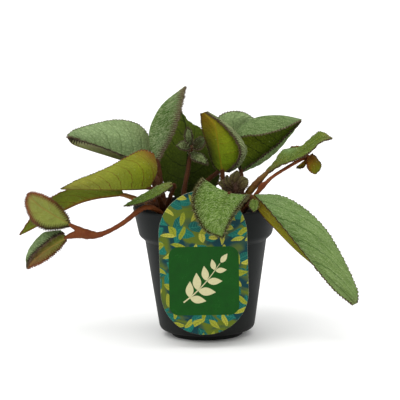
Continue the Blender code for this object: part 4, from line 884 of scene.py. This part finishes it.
def hair_tree():
    """Scatters hairs on a skin, on its faces and along its margins."""
    made = Nodes("down on a skin", geometry=True)
    made.socket("Skin", "Geometry")
    for name, default in (("Face hairs per cm2", FACE_HAIRS), ("Face length", 1.3 * MM),
                          ("Rim hairs per cm2", RIM_HAIRS), ("Rim length", 1.4 * MM),
                          ("Width", 0.2 * MM), ("Rim width", 0.26 * MM)):
        made.socket(name, "Float", default)
    made.socket("Seed", "Int", 1)
    made.socket("Face finish", "Material")
    made.socket("Rim finish", "Material")
    made.socket("Hairs", "Geometry", way="OUTPUT")
    given = made.add("NodeGroupInput").outputs
    parts = made.add("GeometryNodeJoinGeometry")
    hairward = made.stored("hairward", "FLOAT_VECTOR")
    for kind, field, longer, up, out, lean, width in (
            ("Face", "face_hairs", 1.0, 0.7, 0.8, 0.6, "Width"),
            ("Rim", "rim_hairs", made.stored("rim_size"), 0.35, 1.2, 0.55, "Rim width")):
        per_m2 = made.times(given[f"{kind} hairs per cm2"], CM2_IN_M2)
        spots = made.add("GeometryNodeDistributePointsOnFaces", {
            "Mesh": given["Skin"], "Density": made.times(per_m2, made.stored(field)), "Seed": given["Seed"]})
        hair = made.add("GeometryNodeMeshCone", {
            "Vertices": 3, "Radius Top": 0.0, "Radius Bottom": made.times(given[width], 0.5),
            "Depth": given[f"{kind} length"]}, fill_type="NONE")
        tilt = made.random("FLOAT_VECTOR", given["Seed"], _0=(-lean,) * 3, _1=(lean,) * 3)
        way = made.vectors("ADD", made.vectors("SCALE", spots.outputs["Normal"], up),
                           made.vectors("SCALE", hairward, out))
        leaning = made.add("FunctionNodeAlignRotationToVector", {"Vector": made.vectors("ADD", way, tilt)},
                           axis="Z")
        size = made.random("FLOAT", given["Seed"], _2=0.55, _3=1.25)
        set_out = made.add("GeometryNodeInstanceOnPoints", {
            "Points": spots, "Instance": hair, "Rotation": leaning,
            "Scale": made.times(size.outputs[1], longer)})
        made.tree.links.new(made.ended(set_out, given[f"{kind} finish"]).outputs[0], parts.inputs[0])
    made.add("NodeGroupOutput", {0: parts})
    return made.tree


def as_made(obj, keep=False):
    """The plain mesh that an object's modifiers make; keep says whether point values stay on it."""
    bpy.context.view_layer.update()
    graph = bpy.context.evaluated_depsgraph_get()
    return bpy.data.meshes.new_from_object(obj.evaluated_get(graph), preserve_all_data_layers=keep,
                                           depsgraph=graph)


def made_by(tree, name, mesh, **inputs):
    """The plain mesh that a Geometry Nodes tree makes from a mesh."""
    holder = placed(name, mesh)
    modifier = holder.modifiers.new("nodes", "NODES")
    modifier.node_group = tree
    for item in tree.interface.items_tree:
        if item.in_out == "INPUT" and item.name in inputs:
            modifier[item.identifier] = inputs[item.name]
    made = as_made(holder, keep=True)
    bpy.data.objects.remove(holder)
    made.name = name
    return made


def down_finish(name, one, other):
    made = Nodes(name)
    spots = made.noise(made.place(), 260.0, 1.0)
    return made.finished(made.mixed(spots, one, other), 0.7, 0.15)


DOWN = {
    "silver": down_finish("silver down", "#8c9a66", "#b6c092"),
    "brown": down_finish("brown grey down of the margins", "#3e2c20", "#75614e"),
    "olive": down_finish("olive grey down of the margins", "#382e14", "#6c6a42"),
    "stem": down_finish("down of the stems", "#54301a", "#7a5230"),
}
HAIRS = hair_tree()
print("kinds of down:", list(DOWN))

# %% [markdown]
# ## The leaves
# Every leaf of the model is now made at full detail, with its down as a second piece. Both ride on the
# model's one body and stand for its leaf.

# %% Make the leaves
PLANT = bpy.data.collections.new("flame violet")
SCENE.collection.children.link(PLANT)


def piece(name, mesh, stands_for):
    obj = placed(name, mesh, PLANT)
    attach(obj, "root")
    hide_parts(stands_for)


def joined(name, meshes):
    """One mesh from several, with their finishes and point values kept."""
    work = [placed(name, mesh) for mesh in meshes]
    if len(work) > 1:
        with bpy.context.temp_override(active_object=work[0], selected_editable_objects=work,
                                       selected_objects=work, object=work[0]):
            bpy.ops.object.join()
    mesh = work[0].data
    bpy.data.objects.remove(work[0])
    return mesh


def dressed_leaf(name, given, look, long, fine):
    mesh = leaf_mesh(name, given, look, long, fine)
    for side in look["finish"]:
        mesh.materials.append(FINISHES[side])
    return mesh


def add_with_down(name, kind, mesh, look, seed, face=FACE_HAIRS, rim=RIM_HAIRS):
    """Adds a piece of the model's node and, as a piece of its own, the down on it."""
    hairs = made_by(HAIRS, f"{name}_down", mesh.copy(), **{
        "Face hairs per cm2": face, "Rim hairs per cm2": rim, "Seed": seed, "Face finish": DOWN[look["down"]],
        "Rim finish": DOWN[look["fringe_colour"]]})
    piece(f"{name}_down", hairs, name)
    piece(f"{name}_{kind}", mesh, name)
    print(name, len(mesh.polygons), "faces,", len(hairs.polygons), "hair faces")


for seed, (name, given) in enumerate(BLADES.items(), 1):
    look = look_of(name)
    mesh = dressed_leaf(name, given, look, stations(given), LEAF_ROWS)
    add_with_down(name, "blade", mesh, look, seed)

# %% [markdown]
# ## Stems, runners and stubs
# Soft stems are tubes along smooth paths. A second Geometry Nodes tree turns paths with a thickness at
# each point into tubes. Each petiole is led on past its end into the leaf that it carries, so stem and
# midrib run into each other as they do on the plant.

# %% Stem tree
STEP, STEM_SIDES = 1.6, 14
NEAREST, FAR_LEFT, FAR_RIGHT = 6, 130, 260


def stem_tree():
    made = Nodes("tubes along paths", geometry=True)
    made.socket("Paths", "Geometry")
    made.socket("Sides", "Int", STEM_SIDES)
    made.socket("Finish", "Material")
    made.socket("Tubes", "Geometry", way="OUTPUT")
    given = made.add("NodeGroupInput").outputs
    thick = made.stored("thick")
    line = made.add("GeometryNodeMeshToCurve", {0: given["Paths"]})
    line = made.add("GeometryNodeSetCurveRadius", {0: line, "Radius": thick})
    ring = made.add("GeometryNodeCurvePrimitiveCircle", {"Resolution": given["Sides"], "Radius": 1.0})
    tube = made.add("GeometryNodeCurveToMesh", {"Curve": line, "Profile Curve": ring, "Scale": thick,
                                                "Fill Caps": True})
    tube = made.add("GeometryNodeSetShadeSmooth", {0: tube})
    made.add("NodeGroupOutput", {0: made.ended(tube, given["Finish"])})
    return made.tree


def stem_finish(name, one, other, streak):
    made = Nodes(name)
    place = made.place()
    fuzz = made.noise(place, 900.0, 3.0)
    colour = made.mixed(made.ranged(made.noise(place, 90.0, 3.0), 0.35, 0.65), one, other)
    colour = made.mixed(made.ranged(fuzz, 0.55, 0.75, 0.0, 0.6), colour, streak)
    return made.finished(colour, made.ranged(fuzz, 0.0, 1.0, 0.4, 0.7), 0.12, fuzz, 0.0003, 0.7)


STEM = stem_finish("soft red brown stem", "#5e2a10", "#6c3a18", "#7a4a2c")
# The next three finishes are one petiole in painted shade inside the plant, in painted light out to the left,
# and in painted light with an olive tone out to the right.
SHADED_PETIOLE = stem_finish("petioles in the plant's shade", "#361804", "#44240a", "#58391c")
LIT = stem_finish("petiole in full light", "#7c4a20", "#8a5c2a", "#a48058")
LIT_OLIVE_PETIOLE = stem_finish("olive brown petiole", "#50300f", "#624818", "#7e6236")
BUD = stem_finish("maroon bud scales", "#2c1810", "#3f2618", "#6e6048")
YOUNG_BUD = stem_finish("young red brown buds", "#3a1e10", "#4e2c18", "#7a583a")
TUBES = stem_tree()


def paths_mesh(name, paths):
    """Edges along each smooth path, with the radius in mm kept on the points."""
    points, edges, thick = [], [], []
    for places in paths:
        spine = np.concatenate([seen(np.array(places)[:, :3]), np.array(places)[:, 3:4]], axis=1)
        spine = through(spine, np.linspace(0, 1, max(6, int(lengths(spine[:, :3]).sum() / STEP)) + 1))
        start = len(points)
        points += list(spine[:, :3] * MM)
        thick += list(spine[:, 3] * MM * (1 + 0.05 * np.sin(np.arange(len(spine)) * 1.9)))
        edges += [(i, i + 1) for i in range(start, len(points) - 1)]
    mesh = bpy.data.meshes.new(name)
    mesh.from_pydata([tuple(p) for p in points], edges, [])
    put(mesh, "thick", np.array(thick))
    return mesh


def mesh_of(work, name, finish=None):
    """The mesh of a bmesh, which is freed."""
    mesh = bpy.data.meshes.new(name)
    work.to_mesh(mesh)
    work.free()
    if finish:
        mesh.materials.append(finish)
    return mesh


def ovoid(name, middle, radii, finish, rough):
    """A ball stretched along the axes, with low uneven lumps, in mm."""
    work = bmesh.new()
    bmesh.ops.create_icosphere(work, subdivisions=4, radius=1.0)
    for vert in work.verts:
        lump = 1 + rough * noise.noise(vert.co * 2.6 + Vector(middle) * 0.1)
        vert.co = Vector([m + c * r * lump for m, c, r in zip(middle, vert.co, radii)]) * MM
    mesh = mesh_of(work, name, finish)
    mesh.shade_smooth()
    return mesh


def hairy(mesh):
    """The mesh with hairs all over: as thick as the tree says, none longer, and leaning no way."""
    count = len(mesh.vertices)
    for name, values in (("face_hairs", np.ones(count)), ("rim_hairs", np.zeros(count)),
                         ("rim_size", np.ones(count)), ("hairward", np.zeros((count, 3)))):
        put(mesh, name, values)
    return mesh


def led_on(path):
    """The path with one more place, a little way into the leaf whose base is nearest to its end."""
    end = np.array(path[-1][:3], float)
    ribs = [np.array(given["rib"][:2], float) for given in
            list(BLADES.values()) + [leaf for group in CLUSTERS.values() for leaf in group]]
    near = [np.linalg.norm(rib[0] - end) for rib in ribs]
    rib = ribs[int(np.argmin(near))]
    if min(near) > NEAREST:
        return path
    inside = rib[0] + (rib[1] - rib[0]) * 0.25
    return path + [(*inside, path[-1][3] * 0.75)]


def petiole_finish(path):
    """A petiole is dark in the plant's shade and lighter where it reaches out to the left or right."""
    end = path[-1][0]
    return LIT if end < FAR_LEFT else LIT_OLIVE_PETIOLE if end > FAR_RIGHT else SHADED_PETIOLE


def tubes_of(name, paths, finish):
    return made_by(TUBES, name, paths_mesh(name, paths), Finish=finish)

# %% Make the stems
STEM_DOWN = {"fringe_colour": "stem", "down": "stem"}
for seed, (name, (where, paths)) in enumerate(STEMS.items(), 40):
    x, y, radius, foot, top = CROWNS[where]
    crown = ovoid(name, (x, y, (foot + top) / 2), (radius, radius, (top - foot) / 2), BUD, 0.2)
    tubes = [tubes_of(name, [led_on(path)], petiole_finish(path)) for path in paths]
    add_with_down(name, "flesh", hairy(joined(name, tubes + [crown])), STEM_DOWN, seed)
for seed, (name, paths) in enumerate(RUNNERS.items(), 50):
    tubes = tubes_of(name, [led_on(path) for path in paths], STEM)
    add_with_down(name, "flesh", hairy(tubes), STEM_DOWN, seed)

# %% Make the clusters and buds
for seed, (name, leaves) in enumerate(CLUSTERS.items(), 60):
    look = look_of(name)
    # The middle group's stub takes the petiole finish with painted shade.
    finish = {"buds_right": BUD, "leaves_middle_small": SHADED_PETIOLE}.get(name, STEM)
    blades = [dressed_leaf(name, leaf, {**look, **more}, stations(leaf, 30), SMALL_LEAF_ROWS)
              for leaf, more in zip(leaves, LEAF_BY_LEAF.get(name, [{}] * len(leaves)))]
    core = hairy(tubes_of(name, CLUSTER_CORES[name], finish))
    add_with_down(name, "flesh", joined(name, blades + [core]), look, seed, face=120.0, rim=90.0)

buds = [ovoid("bud", seen([place])[0], radii, YOUNG_BUD, 0.16) for place, radii in BUDS_LEFT]
mesh = hairy(joined("buds_left", [tubes_of("stalk", [BUDS_LEFT_STALK], STEM)] + buds))
add_with_down("buds_left", "flesh", mesh, STEM_DOWN, 70, face=90.0)

# %% [markdown]
# ## The pot
# The pot is injection moulded polypropylene, coloured through in anthracite. Its shape is a profile
# turned round the Z axis, so Blender's Screw modifier makes it, with the profile's corners rounded as
# a mould leaves them. Drain holes are cut through the ledge round its foot with Booleans. The moulded
# skin is matt with a fine grain, a little dust low down, and a thin lighter line along the top of the lip.

# %% The pot's profile
POT_OUTSIDE = [(59.5, 108.0), (60.0, 107.2), (59.0, 103.4), (55.3, 85.4), (54.2, 83.6), (50.4, 80.2),
               (39.8, 8.6), (38.7, 6.2), (36.6, 4.9), (30.6, 4.5), (29.6, 0.0)]
POT_INSIDE = [(28.4, 1.7), (29.2, 6.2), (36.4, 6.5), (38.2, 9.2), (49.0, 81.2), (53.2, 85.4),
              (57.5, 103.6), (58.8, 108.0)]
CORNER, POT_STEPS = 0.7, 160
DRAINS, DRAIN_RADIUS, DRAIN_RING, DRAIN_HEIGHT, DRAIN_DEPTH = 8, 2.4, 33.6, 5.5, 7


def rounded(profile, radius):
    """The profile with each corner replaced by four points of a small curve."""
    found = []
    count = len(profile)
    for i, corner in enumerate(np.array(profile, float)):
        before, after = (np.array(profile[(i + k) % count], float) - corner for k in (-1, 1))
        reach = [min(radius, 0.4 * np.linalg.norm(way)) * way / max(np.linalg.norm(way), 1e-9)
                 for way in (before, after)]
        if corner[0] < 0.01:
            found.append(tuple(corner))
            continue
        for t in (0.0, 0.33, 0.67, 1.0):
            found.append(tuple(corner + (1 - t) ** 2 * reach[0] + t ** 2 * reach[1]))
    return found


def turned(name, profile, steps, finish, closed):
    """A skin turned round the Z axis from a profile of (radius, height) in mm."""
    mesh = bpy.data.meshes.new(name)
    points = [(r * MM, 0, z * MM) for r, z in profile]
    edges = [(i, i + 1) for i in range(len(points) - 1)] + ([(len(points) - 1, 0)] if closed else [])
    mesh.from_pydata(points, edges, [])
    obj = placed(name, mesh)
    screw = obj.modifiers.new("turn", "SCREW")
    screw.axis, screw.angle, screw.steps, screw.render_steps = "Z", math.tau, steps, steps
    screw.use_merge_vertices, screw.merge_threshold, screw.use_smooth_shade = True, 0.00002, True
    made = as_made(obj)
    bpy.data.objects.remove(obj)
    work = bmesh.new()
    work.from_mesh(made)
    bmesh.ops.remove_doubles(work, verts=work.verts, dist=0.00001)
    bmesh.ops.recalc_face_normals(work, faces=work.faces)
    if work.calc_volume(signed=True) < 0:
        bmesh.ops.reverse_faces(work, faces=work.faces)
    work.to_mesh(made)
    work.free()
    made.materials.append(finish)
    return made


def pot_finish():
    made = Nodes("injection moulded anthracite polypropylene")
    place = made.place()
    grain = made.noise(place, 1600.0)
    cloud = made.noise(place, 26.0, 4.0, 0.65)
    height = made.parts(place)[2]
    dust = made.times(made.ranged(height, 0.03, 0.0, 0.0, 0.7), cloud)
    # A thin lighter line along the top of the lip.
    lip = made.ranged(height, 0.1068, 0.108, 0.0, 0.5)
    colour = made.mixed(cloud, "#131616", "#1a1d1d")
    colour = made.mixed(lip, made.mixed(dust, colour, "#2c2b28"), "#262a2b")
    rough = made.ranged(cloud, 0.0, 1.0, 0.45, 0.62)
    return made.finished(colour, rough, 0.08, grain, 0.00012, 0.5, ior=1.49)

# %% Make the pot
profile = POT_OUTSIDE + [(0.0, 0.0), (0.0, POT_INSIDE[0][1])] + POT_INSIDE
blank = placed("pot_blank", turned("pot_moulded", rounded(profile, CORNER), POT_STEPS, pot_finish(), True))
for i in range(DRAINS):
    angle = math.tau * (i + 0.5) / DRAINS
    work = bmesh.new()
    bmesh.ops.create_cone(work, cap_ends=True, segments=24, radius1=DRAIN_RADIUS * MM,
                          radius2=DRAIN_RADIUS * MM, depth=DRAIN_DEPTH * MM)
    bmesh.ops.translate(work, verts=work.verts, vec=(
        DRAIN_RING * math.cos(angle) * MM, DRAIN_RING * math.sin(angle) * MM, DRAIN_HEIGHT * MM))
    cutter = placed("drain", mesh_of(work, "drain"))
    cut = blank.modifiers.new("drain", "BOOLEAN")
    cut.operation, cut.solver, cut.object = "DIFFERENCE", "EXACT", cutter
    drilled = as_made(blank)
    blank.modifiers.remove(cut)
    blank.data = drilled
    bpy.data.objects.remove(cutter)
pot = blank.data
bpy.data.objects.remove(blank)
pot.set_sharp_from_angle(angle=math.radians(35))
piece("pot_moulded", pot, "pot")
print("pot:", len(pot.polygons), "faces")

# %% [markdown]
# ## The soil
# The pot is filled with a peat mix. Its surface is uneven, dark and crumbly. The body is turned like
# the pot and its top is pushed about by noise; Geometry Nodes then scatter crumbs of peat over it.

# %% Soil
SOIL_TOP = [(0.0, 98.0), (24.0, 97.4), (41.0, 96.4), (55.1, 95.0)]
SOIL_SIDE = [(53.0, 86.2), (48.2, 80.4), (40.0, 20.0), (0.0, 20.0)]
SOIL_STEPS, SOIL_RINGS, SOIL_LOWEST = 110, 12, 94.5


def peat_finish():
    made = Nodes("damp peat mix")
    place = made.place()
    lumps = made.noise(place, 420.0, 5.0, 0.7)
    colour = made.mixed(made.ranged(lumps, 0.35, 0.7), "#1d140e", "#4a3526")
    wet = made.ranged(made.noise(place, 60.0), 0.4, 0.6, 0.0, 0.5)
    return made.finished(made.mixed(wet, colour, "#241a12"), 0.9, height=lumps, depth=0.0012)


def crumb_tree():
    made = Nodes("crumbs on soil", geometry=True)
    made.socket("Soil", "Geometry")
    made.socket("Crumbs per cm2", "Float", 14.0)
    made.socket("Largest", "Float", 1.7 * MM)
    made.socket("Seed", "Int", 3)
    made.socket("Finish", "Material")
    made.socket("Crumbs", "Geometry", way="OUTPUT")
    given = made.add("NodeGroupInput").outputs
    facing = made.parts(made.add("GeometryNodeInputNormal"))[2]
    open_top = made.add("FunctionNodeCompare", {0: facing, 1: 0.6}, operation="GREATER_THAN")
    spots = made.add("GeometryNodeDistributePointsOnFaces", {
        "Mesh": given["Soil"], "Selection": open_top, "Seed": given["Seed"],
        "Density": made.times(given["Crumbs per cm2"], CM2_IN_M2)})
    ball = made.add("GeometryNodeMeshIcoSphere", {"Radius": given["Largest"], "Subdivisions": 1})
    spin = made.random("FLOAT_VECTOR", given["Seed"], _1=(6.28, 6.28, 6.28))
    size = made.random("FLOAT_VECTOR", given["Seed"], _0=(0.25, 0.2, 0.15), _1=(1.0, 0.8, 0.6))
    set_out = made.add("GeometryNodeInstanceOnPoints", {
        "Points": spots, "Instance": ball, "Rotation": made.add("FunctionNodeEulerToRotation", {0: spin}),
        "Scale": size})
    made.add("NodeGroupOutput", {0: made.ended(set_out, given["Finish"])})
    return made.tree


PEAT = peat_finish()
top = [(r + (r1 - r) * k / SOIL_RINGS, z + (z1 - z) * k / SOIL_RINGS)
       for (r, z), (r1, z1) in zip(SOIL_TOP, SOIL_TOP[1:]) for k in range(SOIL_RINGS)] + SOIL_TOP[-1:]
body = turned("soil_body", top + SOIL_SIDE, SOIL_STEPS, PEAT, False)
for vert in body.vertices:
    x, y, z = vert.co / MM
    if z > SOIL_LOWEST:
        rough = noise.noise(Vector((x, y, 0)) * 0.16) * 0.9 + noise.noise(Vector((x, y, 5)) * 0.5) * 0.4
        vert.co.z += rough * MM * smooth(55.2, 50.0, math.hypot(x, y))
crumbs = made_by(crumb_tree(), "soil_crumbs", body.copy(), Finish=PEAT)
piece("soil_body", body, "soil")
piece("soil_crumbs", crumbs, "soil")
print("soil:", len(body.polygons), "faces and", len(crumbs.polygons), "of crumbs")

# %% [markdown]
# ## The tag
# The tag is a printed card of glossy polypropylene with round ends, hung on the rim by a strap. The
# print here is a plain design of its own: teal and lime leaves strewn over a dark ground, a dark green
# field, and a small sprig. It is drawn on Object coordinates in the card's own plane.

# %% Tag
CARD_WIDTH, CARD_HEIGHT, CARD_THICKNESS, CARD_STEPS = 70.2, 117.0, 0.8, 48
CARD_X, CARD_FOOT, CARD_FRONT = -2.1, 12.0, 63.6
CARD_LEAN, CARD_TURN = math.radians(1.6), math.radians(0.9)
STRAP_WIDTH, STRAP_THICKNESS, STRAP_BEND = 16.0, 0.8, 3.0
STRAP_HEIGHT, STRAP_BACK, STRAP_END = 108.75, 44.0, 74.0
FIELD_HALF, FIELD_HEIGHT, FIELD_CORNER = 20.0, 56.0, 8.0


def on_card(x, z, depth):
    """A point on the hanging card: mm across its middle, mm up from its foot, mm behind its front."""
    cos, sin = math.cos(CARD_TURN), math.sin(CARD_TURN)
    x, z = x * cos - z * sin, x * sin + z * cos
    return CARD_X + 0.9 + x, -CARD_FRONT + depth + (CARD_HEIGHT - z) * math.tan(CARD_LEAN), CARD_FOOT + z


def card_print():
    made = Nodes("glossy printed polypropylene card")
    maths, plus, minus, times, size = made.maths, made.plus, made.minus, made.times, made.size
    mm = made.vectors("SCALE", made.place(), 1 / MM)
    at = made.parts(mm)

    def foliage(shift, long, wide, ground, shades):
        """Pointed leaves strewn over the ground, one to a cell, turned and coloured by the cell's number."""
        flat = made.add("ShaderNodeCombineXYZ", {0: plus(at[0], shift), 1: at[2]})
        bent = made.bent(flat, 0.06, 1.0, 9.0)
        cell = made.add("ShaderNodeTexVoronoi", {"Vector": bent, "Scale": 1.0 / long, "Randomness": 0.8},
                        voronoi_dimensions="2D").outputs
        number = made.add("ShaderNodeSeparateColor", {0: cell["Color"]}).outputs
        own = made.parts(made.add("ShaderNodeVectorRotate", {
            "Vector": made.vectors("SUBTRACT", bent, cell["Position"]), "Angle": times(number[0], 6.28)},
            rotation_type="Z_AXIS"))
        along = maths("DIVIDE", own[0], long * 0.62)
        off = size(own[1])
        blade = times(minus(times(minus(1.0, times(along, along)), wide), off), 3.0, clamp=True)
        ribs = maths("FRACT", plus(times(own[0], 0.5), times(off, -0.4)))
        ribs = times(minus(0.22, ribs), 8.0, clamp=True)
        ribs = maths("MAXIMUM", ribs, times(minus(0.3, off), 5.0, clamp=True))
        shade = made.mixed(number[1], shades[0], shades[1])
        return made.mixed(blade, ground, made.mixed(times(ribs, 0.6), shade, shades[2]))

    flow = made.noise(mm, 0.04, Distortion=1.0)
    art = made.mixed(made.ranged(flow, 0.44, 0.58), "#043036", "#4e5c14")
    art = foliage(0.0, 13.0, 4.2, art, ("#04403c", "#0c5c50", "#2e7a66"))
    art = foliage(50.0, 11.0, 2.2, art, ("#7a801c", "#a09c3a", "#3e5210"))

    # The dark field is a square with round corners.
    beyond = [maths("MAXIMUM", minus(size(minus(at[k], middle)), FIELD_HALF), 0.0)
              for k, middle in ((0, CARD_X), (2, FIELD_HEIGHT))]
    reach = maths("SQRT", plus(*[times(part, part) for part in beyond]))
    inside = times(minus(FIELD_CORNER, reach), 4.0, clamp=True)
    weave = made.noise(mm, 0.12, 3.0)
    colour = made.mixed(inside, art, made.mixed(weave, "#063606", "#0b480a"))
    facing = made.parts(made.add("ShaderNodeNewGeometry").outputs["Normal"])[1]
    front = times(minus(times(facing, -1.0), 0.8), 8.0, clamp=True)
    colour = made.mixed(front, "#a4aa90", colour)
    return made.finished(colour, made.ranged(weave, 0.0, 1.0, 0.2, 0.32), 0.12, ior=1.49)


def skin_of(name, rings, finish):
    """A closed skin through rings of points in mm, with a face over each end."""
    work = bmesh.new()
    rows = [[work.verts.new(Vector(point) * MM) for point in ring] for ring in rings]
    for one, other in zip(rows, rows[1:]):
        for i in range(len(one)):
            work.faces.new((one[i - 1], one[i], other[i], other[i - 1]))
    work.faces.new(rows[0])
    work.faces.new(rows[-1][::-1])
    bmesh.ops.recalc_face_normals(work, faces=work.faces)
    return mesh_of(work, name, finish)


def card_mesh(finish):
    radius = CARD_WIDTH / 2
    turns = [math.pi * i / CARD_STEPS for i in range(CARD_STEPS + 1)]
    ring = [(radius * math.cos(start + turn), centre + radius * math.sin(start + turn))
            for centre, start in ((CARD_HEIGHT - radius, 0.0), (radius, math.pi)) for turn in turns]
    rings = []
    for inset, depth in ((0.25, 0.0), (0.07, 0.07), (0.0, 0.25), (0.0, 0.55), (0.07, 0.73),
                         (0.25, CARD_THICKNESS)):
        share = 1 - inset / radius
        middles = [min(max(z, radius), CARD_HEIGHT - radius) for x, z in ring]
        rings.append([on_card(x * share, middle + (z - middle) * share, depth)
                      for (x, z), middle in zip(ring, middles)])
    return skin_of("tag_card", rings, finish)


def strap_mesh(finish):
    """The strap: back over the rim from the card, round a bend and down into the soil."""
    near, back, high, bend = -CARD_FRONT + 0.6, -STRAP_BACK, STRAP_HEIGHT, STRAP_BEND
    path = [(near, high), (back - bend, high)]
    path += [(back - bend + bend * math.sin(a), high - bend + bend * math.cos(a))
             for a in np.linspace(0.2, math.pi / 2, 7)]
    path += [(back, z) for z in np.linspace(high - 5, STRAP_END, 5)]
    path = np.array(path)
    half = STRAP_THICKNESS / 2
    rings = [[(CARD_X + side * STRAP_WIDTH / 2, y - face * dz * half, z + face * dy * half)
              for side, face in ((-1, 1), (1, 1), (1, -1), (-1, -1))]
             for (y, z), (dy, dz) in zip(path, unit(np.gradient(path, axis=0)))]
    return skin_of("tag_strap", rings, finish)


CARD = card_print()
piece("tag_card", joined("tag_card", [card_mesh(CARD), strap_mesh(CARD)]), "tag")
print("card:", CARD_WIDTH, "x", CARD_HEIGHT, "mm")

# %% [markdown]
# A sprig in cream ink fills the dark field: one bent stalk with pairs of plain leaves. It is a thin
# layer of ink, so it lies 0.04 mm in front of the card.

# %% Sprig
INK_DEPTH, SPRIG_POINTS, LEAF_TURN = -0.04, 30, 0.85


def ink_finish():
    made = Nodes("cream printing ink")
    return made.finished(made.mixed(made.noise(made.place(), 700.0), "#a8a274", "#bcb68c"), 0.3)


def sprig_mesh(finish):
    work = bmesh.new()

    def outline(points):
        work.faces.new([work.verts.new(Vector(on_card(x, z, INK_DEPTH)) * MM) for x, z in points])

    spine = through([(-17.0, 27.0), (-8.0, 34.0), (2.0, 44.0), (13.0, 58.0)], np.linspace(0, 1, SPRIG_POINTS))
    way = unit(np.gradient(spine, axis=0))
    side = np.stack([-way[:, 1], way[:, 0]], 1) * np.linspace(0.6, 0.25, SPRIG_POINTS)[:, None]
    outline(np.concatenate([spine + side, (spine - side)[::-1]]))
    for at, turn, long in ((5, 1, 13), (5, -1, 13), (12, 1, 14), (12, -1, 14), (19, 1, 12), (19, -1, 12),
                           (25, 1, 9), (25, -1, 9), (29, 0, 9)):
        angle = math.atan2(way[at][1], way[at][0]) + turn * LEAF_TURN
        ahead = np.array([math.cos(angle), math.sin(angle)])
        out = np.array([-math.sin(angle), math.cos(angle)])
        t = np.linspace(0, 1, 16)[:, None]
        middle = spine[at] + ahead * 0.8 + ahead * long * t
        bow = out * 0.24 * long * np.sin(math.pi * t ** 0.8)
        outline(np.concatenate([middle + bow, (middle - bow)[-2:0:-1]]))
    return mesh_of(work, "tag_sprig", finish)


piece("tag_sprig", sprig_mesh(ink_finish()), "tag")
